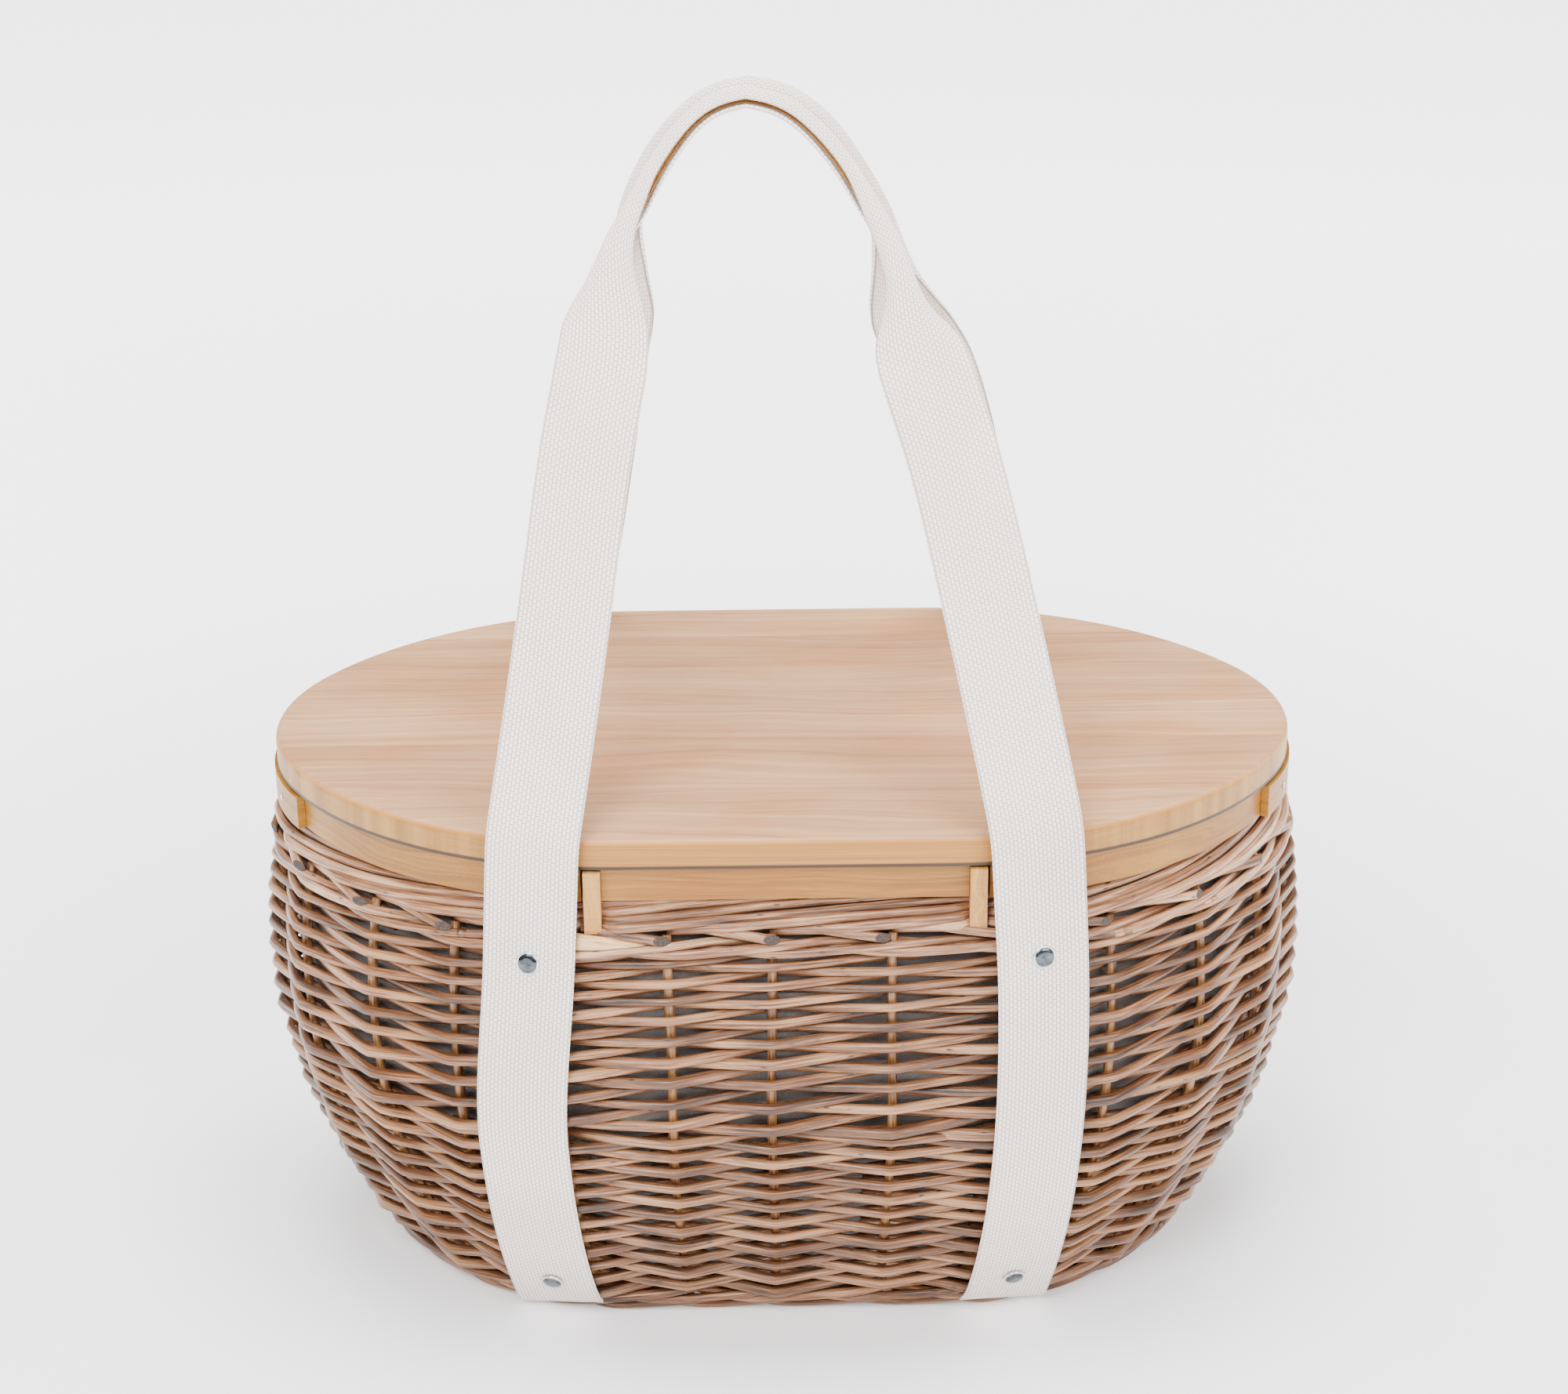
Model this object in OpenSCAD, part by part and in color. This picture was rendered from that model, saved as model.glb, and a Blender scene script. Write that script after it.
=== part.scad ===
// Oval willow picnic basket: woven body in a bentwood rim, loose planked lid,
// and two cotton webbing carrying loops that run down the sides and under the base.
// Frame: origin under the middle of the base, +X along the length, +Z up, front at -Y.

/* [Lid] */
// Half depth of the lid
lid_b = 172; // [168:1:178]
// Half length of the straight front and back edges
lid_straight = 87; // [80:1:92]
// How much larger the shoulder arcs' radius is than the end arcs' radius
radius_step = 80; // [70:1:90]
// Lid thickness
lid_t = 16; // [14:1:18]
// Roundover on the lid's upper edge
lid_round = 4; // [2:0.5:6]
// Height of the lid's top face above the floor
lid_top = 322; // [310:1:335]
// Seams between the lid's planks, from front to back
plank_seams = [-111, -41, 13, 72, 122];
// Width of the fine groove along each seam
seam_w = 0.7; // [0.4:0.1:1.2]

/* [Rim] */
// Height of the rim strips and rails
rim_h = 18.5; // [16:0.5:22]
// Gap between the lid and the rim
lid_gap = 1.5; // [0.5:0.5:3]
// Thickness of a bent rim strip
strip_t = 4.6; // [3:0.1:6]
// How far the front strips' outer faces sit inside the lid's edge
strip_inset = 3.2; // [2.5:0.1:5]
// Thickness of the straight front and back rails
rail_t = 6; // [4:0.5:8]
// How far a rail's face is set back from the posts' faces
rail_recess = 6; // [3:0.5:8]
// Width of a corner post
post_w = 9; // [7:0.5:12]
// Depth of a corner post
post_d = 12; // [12:0.5:14]
// Height of a corner post
post_h = 35; // [28:1:40]
// Distance from the middle of the basket to a post's outer side
post_x = 105.5; // [100:0.5:106]

/* [Woven wall] */
// Radius of the wall's upright curve
wall_r = 335; // [320:5:360]
// Height of the wall's widest point
bulge_z = 198; // [185:1:210]
// How far the widest point stands out past the lid's edge
bulge = 12; // [8:0.5:14]
// Thickness of one layer of weaving rods
skin_t = 4; // [3:0.5:5]
// Diameter of an upright stake
stake_d = 6; // [5:0.5:6]
// Number of stakes around the wall
stakes = 26; // [22:4:30]
// Height where the close lower weave meets the open upper weave
zone_z = 140; // [120:1:160]
// Height of the foot border's top
foot_top = 17; // [16:0.5:18]
// Height where the top border begins
border_z = 263; // [262:0.5:264]

/* [Base] */
// Thickness of the woven base mat
mat_t = 4.6; // [3:0.1:5]
// Diameter of the sticks under the mat
stick_d = 4.4; // [4:0.1:5]

/* [Liner] */
// Thickness of the liner fabric
liner_t = 1.6; // [1:0.1:2]
// Width of the binding around the liner's top edge
binding_w = 18; // [12:1:18]

/* [Straps] */
// Width of the webbing
web_w = 50; // [45:1:52]
// Thickness of the webbing
web_t = 2.5; // [2:0.1:2.5]
// Turn of the straps' legs around the oval's shoulders, in degrees
leg_turn = 12.5; // [11:0.5:14]
// Height of the fold line where the loops hang outward
fold_z = 263.5; // [263.5:0.5:265]
// Height where the loops bend in over the lid
bend_z = 326; // [325:0.5:330]
// Distance from the middle to the loop's face at the bend
bend_y = 176; // [175.5:0.5:178]
// Distance from the middle to the loop's face at the fold line
fold_y = 180.6; // [180:0.1:182]
// Distance from the middle to the centre of a leg at the bend
leg_x = 130.5; // [128:0.5:132]
// Inward tilt of the legs within their loop, in degrees
leg_tilt = 9.8; // [9:0.1:10.5]
// Length of the flat leg above the bend
leg_len = 250; // [240:1:255]

/* [Grips] */
// Diameter of the rolled grip
grip_d = 12.4; // [11:0.1:12.6]
// Radius of the grip's crown
crown_r = 38; // [34:1:42]
// Distance from the bend to the centre of the crown's arc
crown_s = 352; // [345:1:360]
// Angle above X where the crown's arc runs into the flatter flank arcs, in degrees
crown_join = 40; // [36:1:44]
// Radius of the flank arcs
flank_r = 280; // [240:10:320]
// Angle above X where the flank arcs end, in degrees
flank_end = 24; // [22:1:26]
// Distance from the middle plane to a grip's centre line at the crown
grip_y = 6.9; // [6.8:0.1:10]
// Width of the lining under a grip
lining_w = 9; // [7:0.5:10]

/* [Rivets] */
// Height of the upper rivets
rivet_top_z = 255; // [250:0.5:256]
// Height of the lower rivets
rivet_low_z = 36; // [32:1:45]
// Diameter of a rivet's cap
cap_d = 11.6; // [9:0.1:12]
// Diameter of a rivet's shank
shank_d = 3.6; // [3:0.1:4]

/* [Hidden] */
$fn = 120;

// Clearance between neighbouring pieces
gap = 0.3;
// The oval's shoulder arcs are tangent to the straight sides and, at join_angle above X, to the ends
join_angle = 30;
shoulder_y = -radius_step * sin(join_angle);
shoulder_r = lid_b - shoulder_y;
lid_end_r = shoulder_r - radius_step;
end_x = lid_straight + radius_step * cos(join_angle);
lid_a = end_x + lid_end_r;

lid_z = lid_top - lid_t;
rim_top = lid_z - lid_gap;
rim_z = rim_top - rim_h;
post_y = lid_b + 1;

stake_slot = stake_d + 2 * gap;
wall_t = 2 * skin_t + stake_slot;
weave_z = foot_top + gap;
weave_top = border_z - gap;
mat_z = foot_top - mat_t;
mat_depth = wall_t + 4.5;
liner_depth = wall_t + gap;
liner_z = foot_top + gap;
binding_inset = post_d + gap;

// Distance out from the lid's outline to the wall at a depth from its outer face and a height
function wall_offset(depth, z) = bulge - wall_r + sqrt((wall_r - depth)^2 - (z - bulge_z)^2);
function dir(angle) = [cos(angle), sin(angle)];

band_depth = -gap - web_t;
band_top = fold_z - 0.5;
loop_z = fold_z + 0.8;
lean = asin((bend_y - grip_y) / (crown_s + crown_r));
flank_centre = [0, crown_s] - (flank_r - crown_r) * dir(crown_join);
lining_t = 1.2;

cap_t = 2;
cap_lip = 0.8;
burr_t = 1.2;
burr_d = 9;
bore_gap = 0.1;
stack = wall_t + gap + liner_t + gap;
tack_head_d = 3.6;
tack_head_t = 0.6;
lap_front = -33;
lap_back = 12;
perimeter = 4 * (lid_straight + (shoulder_r + bulge) * (90 - join_angle) * PI / 180
  + (lid_end_r + bulge) * join_angle * PI / 180);

willow = [0.62, 0.50, 0.41];
pine = [0.84, 0.70, 0.50];
lid_pine = [0.88, 0.76, 0.64];
cotton = [0.93, 0.90, 0.87];
nickel = [0.78, 0.78, 0.78];

// ---------- the oval and its sweeps ----------

// Turns a shape made for the +X +Y quarter to the quarter (sx, sy)
module quarter(sx, sy) {
  mirror([sx < 0 ? 1 : 0, 0, 0]) mirror([0, sy < 0 ? 1 : 0, 0]) children();
}

// Moves in two steps, so that long decimals keep all their digits and tangent arcs meet exactly
module shift(v) {
  coarse = [for (x = v) round(x * 1000) / 1000];
  translate(coarse) translate(v - coarse) children();
}

// Profile swept along the shoulder arc of the +X +Y quarter, between two angles from the X axis
module shoulder_sweep(from, to) {
  translate([lid_straight, shoulder_y, 0])
    rotate_extrude(start = from, angle = to - from) translate([shoulder_r, 0]) children();
}

// Profile swept along the +X end arc, between two angles from the X axis
module end_sweep(from, to) {
  shift([end_x, 0, 0]) rotate_extrude(start = from, angle = to - from) translate([lid_end_r, 0]) children();
}

// Profile swept along the straight +Y side, from one X to another
module side_sweep(from, to) {
  translate([from, lid_b, 0]) rotate([90, 0, 90]) linear_extrude(to - from) children();
}

// Profile swept along the +X +Y quarter of the oval
module quarter_sweep() {
  end_sweep(0, join_angle) children();
  shoulder_sweep(join_angle, 90) children();
  side_sweep(0, lid_straight) children();
}

// Profile swept all round the oval. X in the profile is the distance out from the lid's edge
module oval_sweep() {
  for (sx = [-1, 1]) {
    quarter(sx, 1) end_sweep(-join_angle, join_angle) children();
    for (sy = [-1, 1]) quarter(sx, sy) shoulder_sweep(join_angle, 90) children();
  }
  for (sy = [-1, 1]) quarter(1, sy) side_sweep(-lid_straight, lid_straight) children();
}

// Flat oval plate between two heights, its edge off outside the lid's outline
module plate(off, from_z, to_z) {
  ring_w = lid_end_r + off - 6;
  oval_sweep() translate([off - ring_w, from_z]) square([ring_w, to_z - from_z]);
  plate_core(from_z, to_z);
}

// Block that fills the middle of a plate, inside every plate's edge
module plate_core(from_z, to_z) {
  half = [end_x + 8, lid_b - lid_end_r + 10];
  translate([-half.x, -half.y, from_z]) cube([2 * half.x, 2 * half.y, to_z - from_z]);
}

// Profile of a layer of the wall, between two depths from its outer face and two heights
module wall_layer(outer, inner, from_z, to_z) {
  intersection() {
    translate([bulge - wall_r, bulge_z]) difference() {
      circle(wall_r - outer, $fn = 240);
      circle(wall_r - inner, $fn = 240);
    }
    translate([-100, from_z]) square([130, to_z - from_z]);
  }
}

// Puts children on the wall's outer face over a strap leg: +X out of the wall, at height z
module on_leg(sx, sy, z) {
  quarter(sx, sy) translate([lid_straight, shoulder_y, 0]) rotate([0, 0, 90 - leg_turn])
    translate([shoulder_r + bulge - wall_r, 0, bulge_z])
      rotate([0, -asin((z - bulge_z) / wall_r), 0]) translate([wall_r, 0, 0]) children();
}

module rivet_bores(sx) {
  for (sy = [-1, 1], z = [rivet_low_z, rivet_top_z]) on_leg(sx, sy, z)
    translate([-stack - 10, 0, 0]) rotate([0, 90, 0])
      cylinder(h = stack + 20, d = shank_d + 2 * bore_gap, $fn = 32);
}

// ---------- woven body ----------

// One quarter of the weave. The rods pass outside and inside the stakes, so it has two layers
module weave_zone(sx, sy, from_z, to_z, rivet_z) {
  color(willow) difference() {
    quarter(sx, sy) quarter_sweep() {
      wall_layer(0, skin_t, from_z, to_z);
      wall_layer(wall_t - skin_t, wall_t, from_z, to_z);
    }
    on_leg(sx, sy, rivet_z) translate([-wall_t - 2, 0, 0]) rotate([0, 90, 0])
      cylinder(h = wall_t + 4, d = shank_d + 2 * bore_gap, $fn = 32);
  }
}

// Close weave from the foot border up to the change of rods
module side_weave_lower(sx, sy) {
  weave_zone(sx, sy, weave_z, zone_z - gap / 2, rivet_low_z);
}

// Open weave from the change of rods up to the top border
module side_weave_upper(sx, sy) {
  weave_zone(sx, sy, zone_z + gap / 2, weave_top, rivet_top_z);
}

// One stake in the middle of the wall, standing in the upright plane of +X at wall offset 0
module stake() {
  mid_r = wall_r - wall_t / 2;
  from = asin((weave_z + 3 - bulge_z) / mid_r);
  to = asin((weave_top - 1 - bulge_z) / mid_r);
  translate([bulge - wall_r, 0, bulge_z]) rotate([90, 0, 0]) rotate([0, 0, from])
    rotate_extrude(angle = to - from, $fn = 240) translate([mid_r, 0]) circle(d = stake_d, $fn = 24);
}

// Puts a stake a distance s along the widest line from the middle of the +Y side towards +X
module stake_at(s) {
  along_shoulder = (s - lid_straight) / (shoulder_r + bulge) * 180 / PI;
  along_end = (s - lid_straight) - (shoulder_r + bulge) * (90 - join_angle) * PI / 180;
  if (s <= lid_straight)
    translate([s, lid_b, 0]) rotate([0, 0, 90]) stake();
  else if (along_shoulder <= 90 - join_angle)
    translate([lid_straight, shoulder_y, 0]) rotate([0, 0, 90 - along_shoulder])
      translate([shoulder_r, 0, 0]) stake();
  else
    shift([end_x, 0, 0]) rotate([0, 0, join_angle - along_end / (lid_end_r + bulge) * 180 / PI])
      translate([lid_end_r, 0, 0]) stake();
}

// Stakes stand at equal steps round the oval, with one in the middle of each long side
module stakes() {
  step = perimeter / stakes;
  per_quarter = (stakes - 2) / 4;
  color(willow * 0.85) for (sy = [-1, 1]) {
    quarter(1, sy) stake_at(0);
    for (sx = [-1, 1], i = [1 : per_quarter]) quarter(sx, sy) stake_at(i * step);
  }
}

module top_border() {
  color(willow * 0.95) difference() {
    oval_sweep() wall_layer(0, wall_t, border_z, rim_z - gap);
    for (sx = [-1, 1], sy = [-1, 1]) quarter(sx, sy) post_block(gap);
  }
}

module foot_border() {
  color(willow * 0.9) oval_sweep() wall_layer(0, wall_t + 2, web_t + gap, foot_top);
}

module base_mat() {
  color(willow * 0.9) plate(wall_offset(mat_depth, mat_z), mat_z, foot_top);
}

// Three long sticks that the mat is woven over
module base_sticks() {
  color(willow * 0.8) for (y = [-30, 0, 30]) translate([-195, y, mat_z - gap - stick_d / 2])
    rotate([0, 90, 0]) cylinder(h = 390, d = stick_d, $fn = 24);
}

// ---------- liner ----------

module liner() {
  floor_edge = wall_offset(liner_depth + liner_t / 2, liner_z);
  color([0.38, 0.37, 0.38]) difference() {
    union() {
      oval_sweep() wall_layer(liner_depth, liner_depth + liner_t, liner_z, rim_z - gap);
      plate(floor_edge, liner_z, liner_z + liner_t);
    }
    for (sx = [-1, 1]) rivet_bores(sx);
  }
}

// Folded hem that hangs from the rim, inside the strips and rails
module liner_binding() {
  color([0.30, 0.29, 0.30]) oval_sweep()
    translate([-binding_inset - 2, rim_top - binding_w]) square([2, binding_w]);
}

// ---------- rim ----------

// Post of the +X +Y quarter, grown by extra on every side
module post_block(extra) {
  translate([post_x - post_w - extra, post_y - post_d - extra, rim_top - post_h - extra])
    cube([post_w + 2 * extra, post_d + 2 * extra, post_h + 2 * extra]);
}

module corner_post(sx, sy) {
  color(pine * 0.95) quarter(sx, sy) post_block(0);
}

module rail(sy) {
  half = post_x - post_w - 0.2;
  color(pine * 0.92) quarter(1, sy) translate([-half, post_y - rail_recess - rail_t, rim_z])
    cube([2 * half, rail_t, rim_h]);
}

module strip_profile(inset) {
  translate([-inset - strip_t, rim_z]) square([strip_t, rim_h]);
}

// Bent strip from a post round to the lap joint at the end. The back strips lap outside the front ones
module rim_strip(sx, sy) {
  start = 90 - asin((post_x + 1 - lid_straight) / (shoulder_r - strip_inset - strip_t));
  inset = sy < 0 ? strip_inset : strip_inset - strip_t - gap;
  past = sy < 0 ? -lap_back : lap_front;
  color(pine) quarter(sx, sy) {
    shoulder_sweep(join_angle, start) strip_profile(inset);
    end_sweep(past, join_angle) strip_profile(inset);
  }
}

// Heads of the tacks that close the lap joints, two on each end
module rim_tacks() {
  outer_r = lid_end_r - strip_inset + strip_t + gap;
  color(nickel) for (sx = [-1, 1], t = [-22, -6]) quarter(sx, 1) translate([end_x, 0, rim_z + rim_h / 2])
    rotate([0, 0, t]) translate([outer_r + 0.05, 0, 0])
      rotate([0, 90, 0]) cylinder(h = tack_head_t, d = tack_head_d, $fn = 24);
}

// ---------- lid ----------

module lid_edge() {
  edge_w = lid_end_r - 6;
  translate([-edge_w, lid_z]) square([edge_w - lid_round, lid_t]);
  translate([-edge_w, lid_z]) square([edge_w, lid_t - lid_round]);
  translate([-lid_round, lid_top - lid_round]) circle(lid_round, $fn = 48);
}

module lid_blank() {
  oval_sweep() lid_edge();
  plate_core(lid_z, lid_top);
}

// Fine V groove along the top of a seam between two planks
module seam_groove(y) {
  translate([-lid_a - 1, y, lid_top]) rotate([90, 0, 90]) linear_extrude(2 * lid_a + 2)
    polygon([[-seam_w / 2, 0.1], [0, -seam_w / 2], [seam_w / 2, 0.1]]);
}

// Plank n of the lid, counted from the front
module lid_plank(n) {
  edges = concat([-lid_b - 1], plank_seams, [lid_b + 1]);
  color(lid_pine * (n % 2 == 0 ? 1 : 0.97)) difference() {
    intersection() {
      lid_blank();
      translate([-lid_a - 1, edges[n - 1], lid_z - 1])
        cube([2 * lid_a + 2, edges[n] - edges[n - 1], lid_t + 2]);
    }
    for (y = plank_seams) seam_groove(y);
  }
}

// ---------- straps ----------

// Webbing band that comes down over one front rivet, runs under the base and up the back
module band(sx) {
  leg_r = shoulder_r + wall_offset(-gap, 0);
  foot_x = lid_straight + leg_r * sin(leg_turn);
  foot_y = shoulder_y + leg_r * cos(leg_turn);
  color(cotton) difference() {
    union() {
      for (sy = [-1, 1]) quarter(sx, sy) translate([lid_straight, shoulder_y, 0])
        rotate([0, 0, 90 - leg_turn]) rotate([90, 0, 0]) linear_extrude(web_w, center = true)
          translate([shoulder_r, 0]) wall_layer(band_depth, -gap, 0, band_top);
      translate([sx * foot_x - web_w / 2, -foot_y, 0]) cube([web_w, 2 * foot_y, web_t]);
    }
    rivet_bores(sx);
  }
}

// Puts children in the plane of the +Y loop: X across, Y up the loop from its bend, Z out
module in_loop() {
  translate([0, bend_y, bend_z]) rotate([90 + lean, 0, 0]) mirror([0, 0, 1]) children();
}

module loop_leg() {
  translate([leg_x, 0]) rotate(leg_tilt) translate([-web_w / 2, -1.5]) square([web_w, leg_len + 1.5]);
}

// The webbing gathers from its full width into the rolled grip
module loop_neck() {
  top = [leg_x, 0] + leg_len * [-sin(leg_tilt), cos(leg_tilt)];
  across = web_w / 2 * [cos(leg_tilt), sin(leg_tilt)];
  end = flank_centre + flank_r * dir(flank_end);
  roll = grip_d / 2 * dir(flank_end);
  polygon([top - across, top + across, end + roll, end - roll]);
}

// Sweeps a profile along the grip: round the crown and down both flanks
module grip_sweep() {
  shift([0, crown_s, 0]) rotate_extrude(start = crown_join, angle = 180 - 2 * crown_join)
    translate([crown_r, 0]) children();
  for (sx = [-1, 1]) mirror([sx < 0 ? 1 : 0, 0, 0]) shift([flank_centre.x, flank_centre.y, 0])
    rotate_extrude(start = flank_end, angle = crown_join - flank_end, $fn = 480)
      translate([flank_r, 0]) children();
}

module loop(sy) {
  color(cotton) quarter(1, sy) {
    for (sx = [-1, 1]) translate([sx * leg_x, 0, 0]) rotate([90, 0, 90])
      linear_extrude(web_w, center = true)
        polygon([[fold_y - web_t / 2, loop_z], [fold_y + web_t / 2, loop_z],
          [bend_y + web_t / 2, bend_z], [bend_y - web_t / 2, bend_z]]);
    in_loop() {
      for (sx = [-1, 1]) mirror([sx < 0 ? 1 : 0, 0, 0])
        linear_extrude(web_t, center = true) {
          loop_leg();
          loop_neck();
        }
      grip_sweep() circle(d = grip_d, $fn = 32);
    }
  }
}

// Tan strip that closes the underside of a rolled grip
module grip_lining(sy) {
  color([0.78, 0.60, 0.42]) quarter(1, sy) in_loop() grip_sweep()
    translate([-grip_d / 2 - gap - lining_t, -lining_w / 2]) square([lining_t, lining_w]);
}

// ---------- rivets ----------

module rivet(sx, sy, z) {
  seat = gap + web_t + bore_gap;
  color(nickel) on_leg(sx, sy, z) rotate([0, 90, 0]) {
    translate([0, 0, seat]) cylinder(h = cap_t - cap_lip, d = cap_d, $fn = 64);
    translate([0, 0, seat + cap_t - cap_lip]) cylinder(h = cap_lip, d = cap_d - 2 * cap_lip, $fn = 64);
    translate([0, 0, -stack - burr_t - 0.6]) cylinder(h = stack + burr_t + 0.6 + seat + 0.2, d = shank_d, $fn = 32);
  }
}

module burr(sx, sy, z) {
  color(nickel * 0.9) on_leg(sx, sy, z) rotate([0, 90, 0]) translate([0, 0, -stack - burr_t])
    difference() {
      cylinder(h = burr_t, d = burr_d, $fn = 64);
      translate([0, 0, -1]) cylinder(h = burr_t + 2, d = shank_d + 0.1, $fn = 32);
    }
}

side_weave_lower(-1, -1);  // side_weave_lower_front_left
side_weave_lower(1, -1);  // side_weave_lower_front_right
side_weave_lower(-1, 1);  // side_weave_lower_back_left
side_weave_lower(1, 1);  // side_weave_lower_back_right
side_weave_upper(-1, -1);  // side_weave_upper_front_left
side_weave_upper(1, -1);  // side_weave_upper_front_right
side_weave_upper(-1, 1);  // side_weave_upper_back_left
side_weave_upper(1, 1);  // side_weave_upper_back_right
stakes();
top_border();
foot_border();
base_mat();
base_sticks();
liner();
liner_binding();
rail(-1);  // front_rail
rail(1);  // back_rail
rim_strip(-1, -1);  // rim_strip_front_left
rim_strip(1, -1);  // rim_strip_front_right
rim_strip(-1, 1);  // rim_strip_back_left
rim_strip(1, 1);  // rim_strip_back_right
corner_post(-1, -1);  // post_front_left
corner_post(1, -1);  // post_front_right
corner_post(-1, 1);  // post_back_left
corner_post(1, 1);  // post_back_right
rim_tacks();
lid_plank(1);  // lid_plank_1
lid_plank(2);  // lid_plank_2
lid_plank(3);  // lid_plank_3
lid_plank(4);  // lid_plank_4
lid_plank(5);  // lid_plank_5
lid_plank(6);  // lid_plank_6
band(-1);  // band_left
band(1);  // band_right
loop(-1);  // loop_front
loop(1);  // loop_back
grip_lining(-1);  // grip_lining_front
grip_lining(1);  // grip_lining_back
rivet(-1, -1, rivet_top_z);  // rivet_front_left_upper
rivet(-1, -1, rivet_low_z);  // rivet_front_left_lower
rivet(1, -1, rivet_top_z);  // rivet_front_right_upper
rivet(1, -1, rivet_low_z);  // rivet_front_right_lower
rivet(-1, 1, rivet_top_z);  // rivet_back_left_upper
rivet(-1, 1, rivet_low_z);  // rivet_back_left_lower
rivet(1, 1, rivet_top_z);  // rivet_back_right_upper
rivet(1, 1, rivet_low_z);  // rivet_back_right_lower
burr(-1, -1, rivet_top_z);  // burr_front_left_upper
burr(-1, -1, rivet_low_z);  // burr_front_left_lower
burr(1, -1, rivet_top_z);  // burr_front_right_upper
burr(1, -1, rivet_low_z);  // burr_front_right_lower
burr(-1, 1, rivet_top_z);  // burr_back_left_upper
burr(-1, 1, rivet_low_z);  // burr_back_left_lower
burr(1, 1, rivet_top_z);  // burr_back_right_upper
burr(1, 1, rivet_low_z);  // burr_back_right_lower
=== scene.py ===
"""Oval willow picnic basket: the looks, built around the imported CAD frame.

Shapes are worked out in millimetres in the row frame (origin under the base, +Z up, front at -Y)
and turned into metres when a mesh is made.
"""

import math
import random

import bpy
import numpy as np
from mathutils import Matrix, Vector


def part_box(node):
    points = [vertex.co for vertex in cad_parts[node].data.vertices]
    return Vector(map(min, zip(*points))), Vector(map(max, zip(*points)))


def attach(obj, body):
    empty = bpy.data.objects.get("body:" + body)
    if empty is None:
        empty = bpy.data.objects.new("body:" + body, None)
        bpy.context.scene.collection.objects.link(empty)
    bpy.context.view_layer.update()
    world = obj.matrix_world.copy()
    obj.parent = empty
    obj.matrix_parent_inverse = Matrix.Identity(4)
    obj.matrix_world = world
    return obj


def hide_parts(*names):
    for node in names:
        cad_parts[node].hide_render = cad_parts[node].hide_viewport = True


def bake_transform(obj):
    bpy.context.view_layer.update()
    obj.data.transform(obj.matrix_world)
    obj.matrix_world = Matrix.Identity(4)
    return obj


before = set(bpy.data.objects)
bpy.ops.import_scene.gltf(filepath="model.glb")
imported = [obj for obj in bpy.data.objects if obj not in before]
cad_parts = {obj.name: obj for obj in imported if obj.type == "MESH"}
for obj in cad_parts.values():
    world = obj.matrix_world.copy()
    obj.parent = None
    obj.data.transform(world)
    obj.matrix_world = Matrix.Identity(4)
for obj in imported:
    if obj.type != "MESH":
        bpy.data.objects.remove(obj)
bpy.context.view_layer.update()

MM = 0.001
TAU = 2 * math.pi
UP = np.array([0, 0, 1.0])
EVEN = (0.5, 0.5, 0.5)  # the tone of a piece that isn't made of rods
CORNERS = [(f, s) for f in ("front", "back") for s in ("left", "right")]
SIGN = {"front": -1, "back": 1, "left": -1, "right": 1}


# ---------- the frame's driving dimensions, in millimetres ----------


def extent(*nodes):
    """Lowest and highest corner of a group of CAD nodes."""
    boxes = [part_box(n) for n in nodes]
    low = [min(b[0][i] for b in boxes) / MM for i in range(3)]
    high = [max(b[1][i] for b in boxes) / MM for i in range(3)]
    return low, high


PLANKS = [f"lid_plank_{i}" for i in range(1, 7)]
WEAVES = [f"side_weave_{z}_{f}_{s}" for z in ("lower", "upper") for f, s in CORNERS]
LID_LOW, LID_HIGH = extent(*PLANKS)
WALL_HIGH = extent(*WEAVES)[1]
BORDER_LOW = extent("top_border")[0]
FOOT_LOW, FOOT_HIGH = extent("foot_border")

# A quarter of the lid's outline: half the straight front, a shoulder arc, and an end arc that
# reaches up to the angle JOIN. RADIUS_STEP is the difference of the two arcs' radii.
LID_A, LID_B = LID_HIGH[0], LID_HIGH[1]
STRAIGHT = 87.0
JOIN = math.radians(30)
RADIUS_STEP = (LID_A - LID_B - STRAIGHT) / (math.cos(JOIN) - math.sin(JOIN))
SHOULDER_Y = -RADIUS_STEP * math.sin(JOIN)
SHOULDER_R = LID_B - SHOULDER_Y
END_R = SHOULDER_R - RADIUS_STEP
END_X = STRAIGHT + RADIUS_STEP * math.cos(JOIN)

# The wall bulges in one arc of radius WALL_R, widest at BULGE_Z and BULGE out from the lid there
WALL_R = 335.0
BULGE_Z = 198.0
BULGE = WALL_HIGH[0] - LID_A
WALL_T = 14.6
MID = WALL_T / 2

# Lengths along the wall's widest line
STAKES = 26
SHOULDER_ARC = (SHOULDER_R + BULGE) * (math.pi / 2 - JOIN)
END_ARC = (END_R + BULGE) * JOIN
QUARTER = STRAIGHT + SHOULDER_ARC + END_ARC
PERIMETER = 4 * QUARTER
STEP = PERIMETER / STAKES

WEB_W = 50.0
WEB_T = 2.4


# ---------- the oval and the wall ----------


def spin(angle):
    """Unit vectors in a plane, at one angle or at many."""
    return np.stack([np.cos(angle), np.sin(angle)], -1)


def with_z(flat, z):
    """Points or vectors of a plane, each given its third value."""
    return np.concatenate([flat, z[..., None]], -1)


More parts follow.
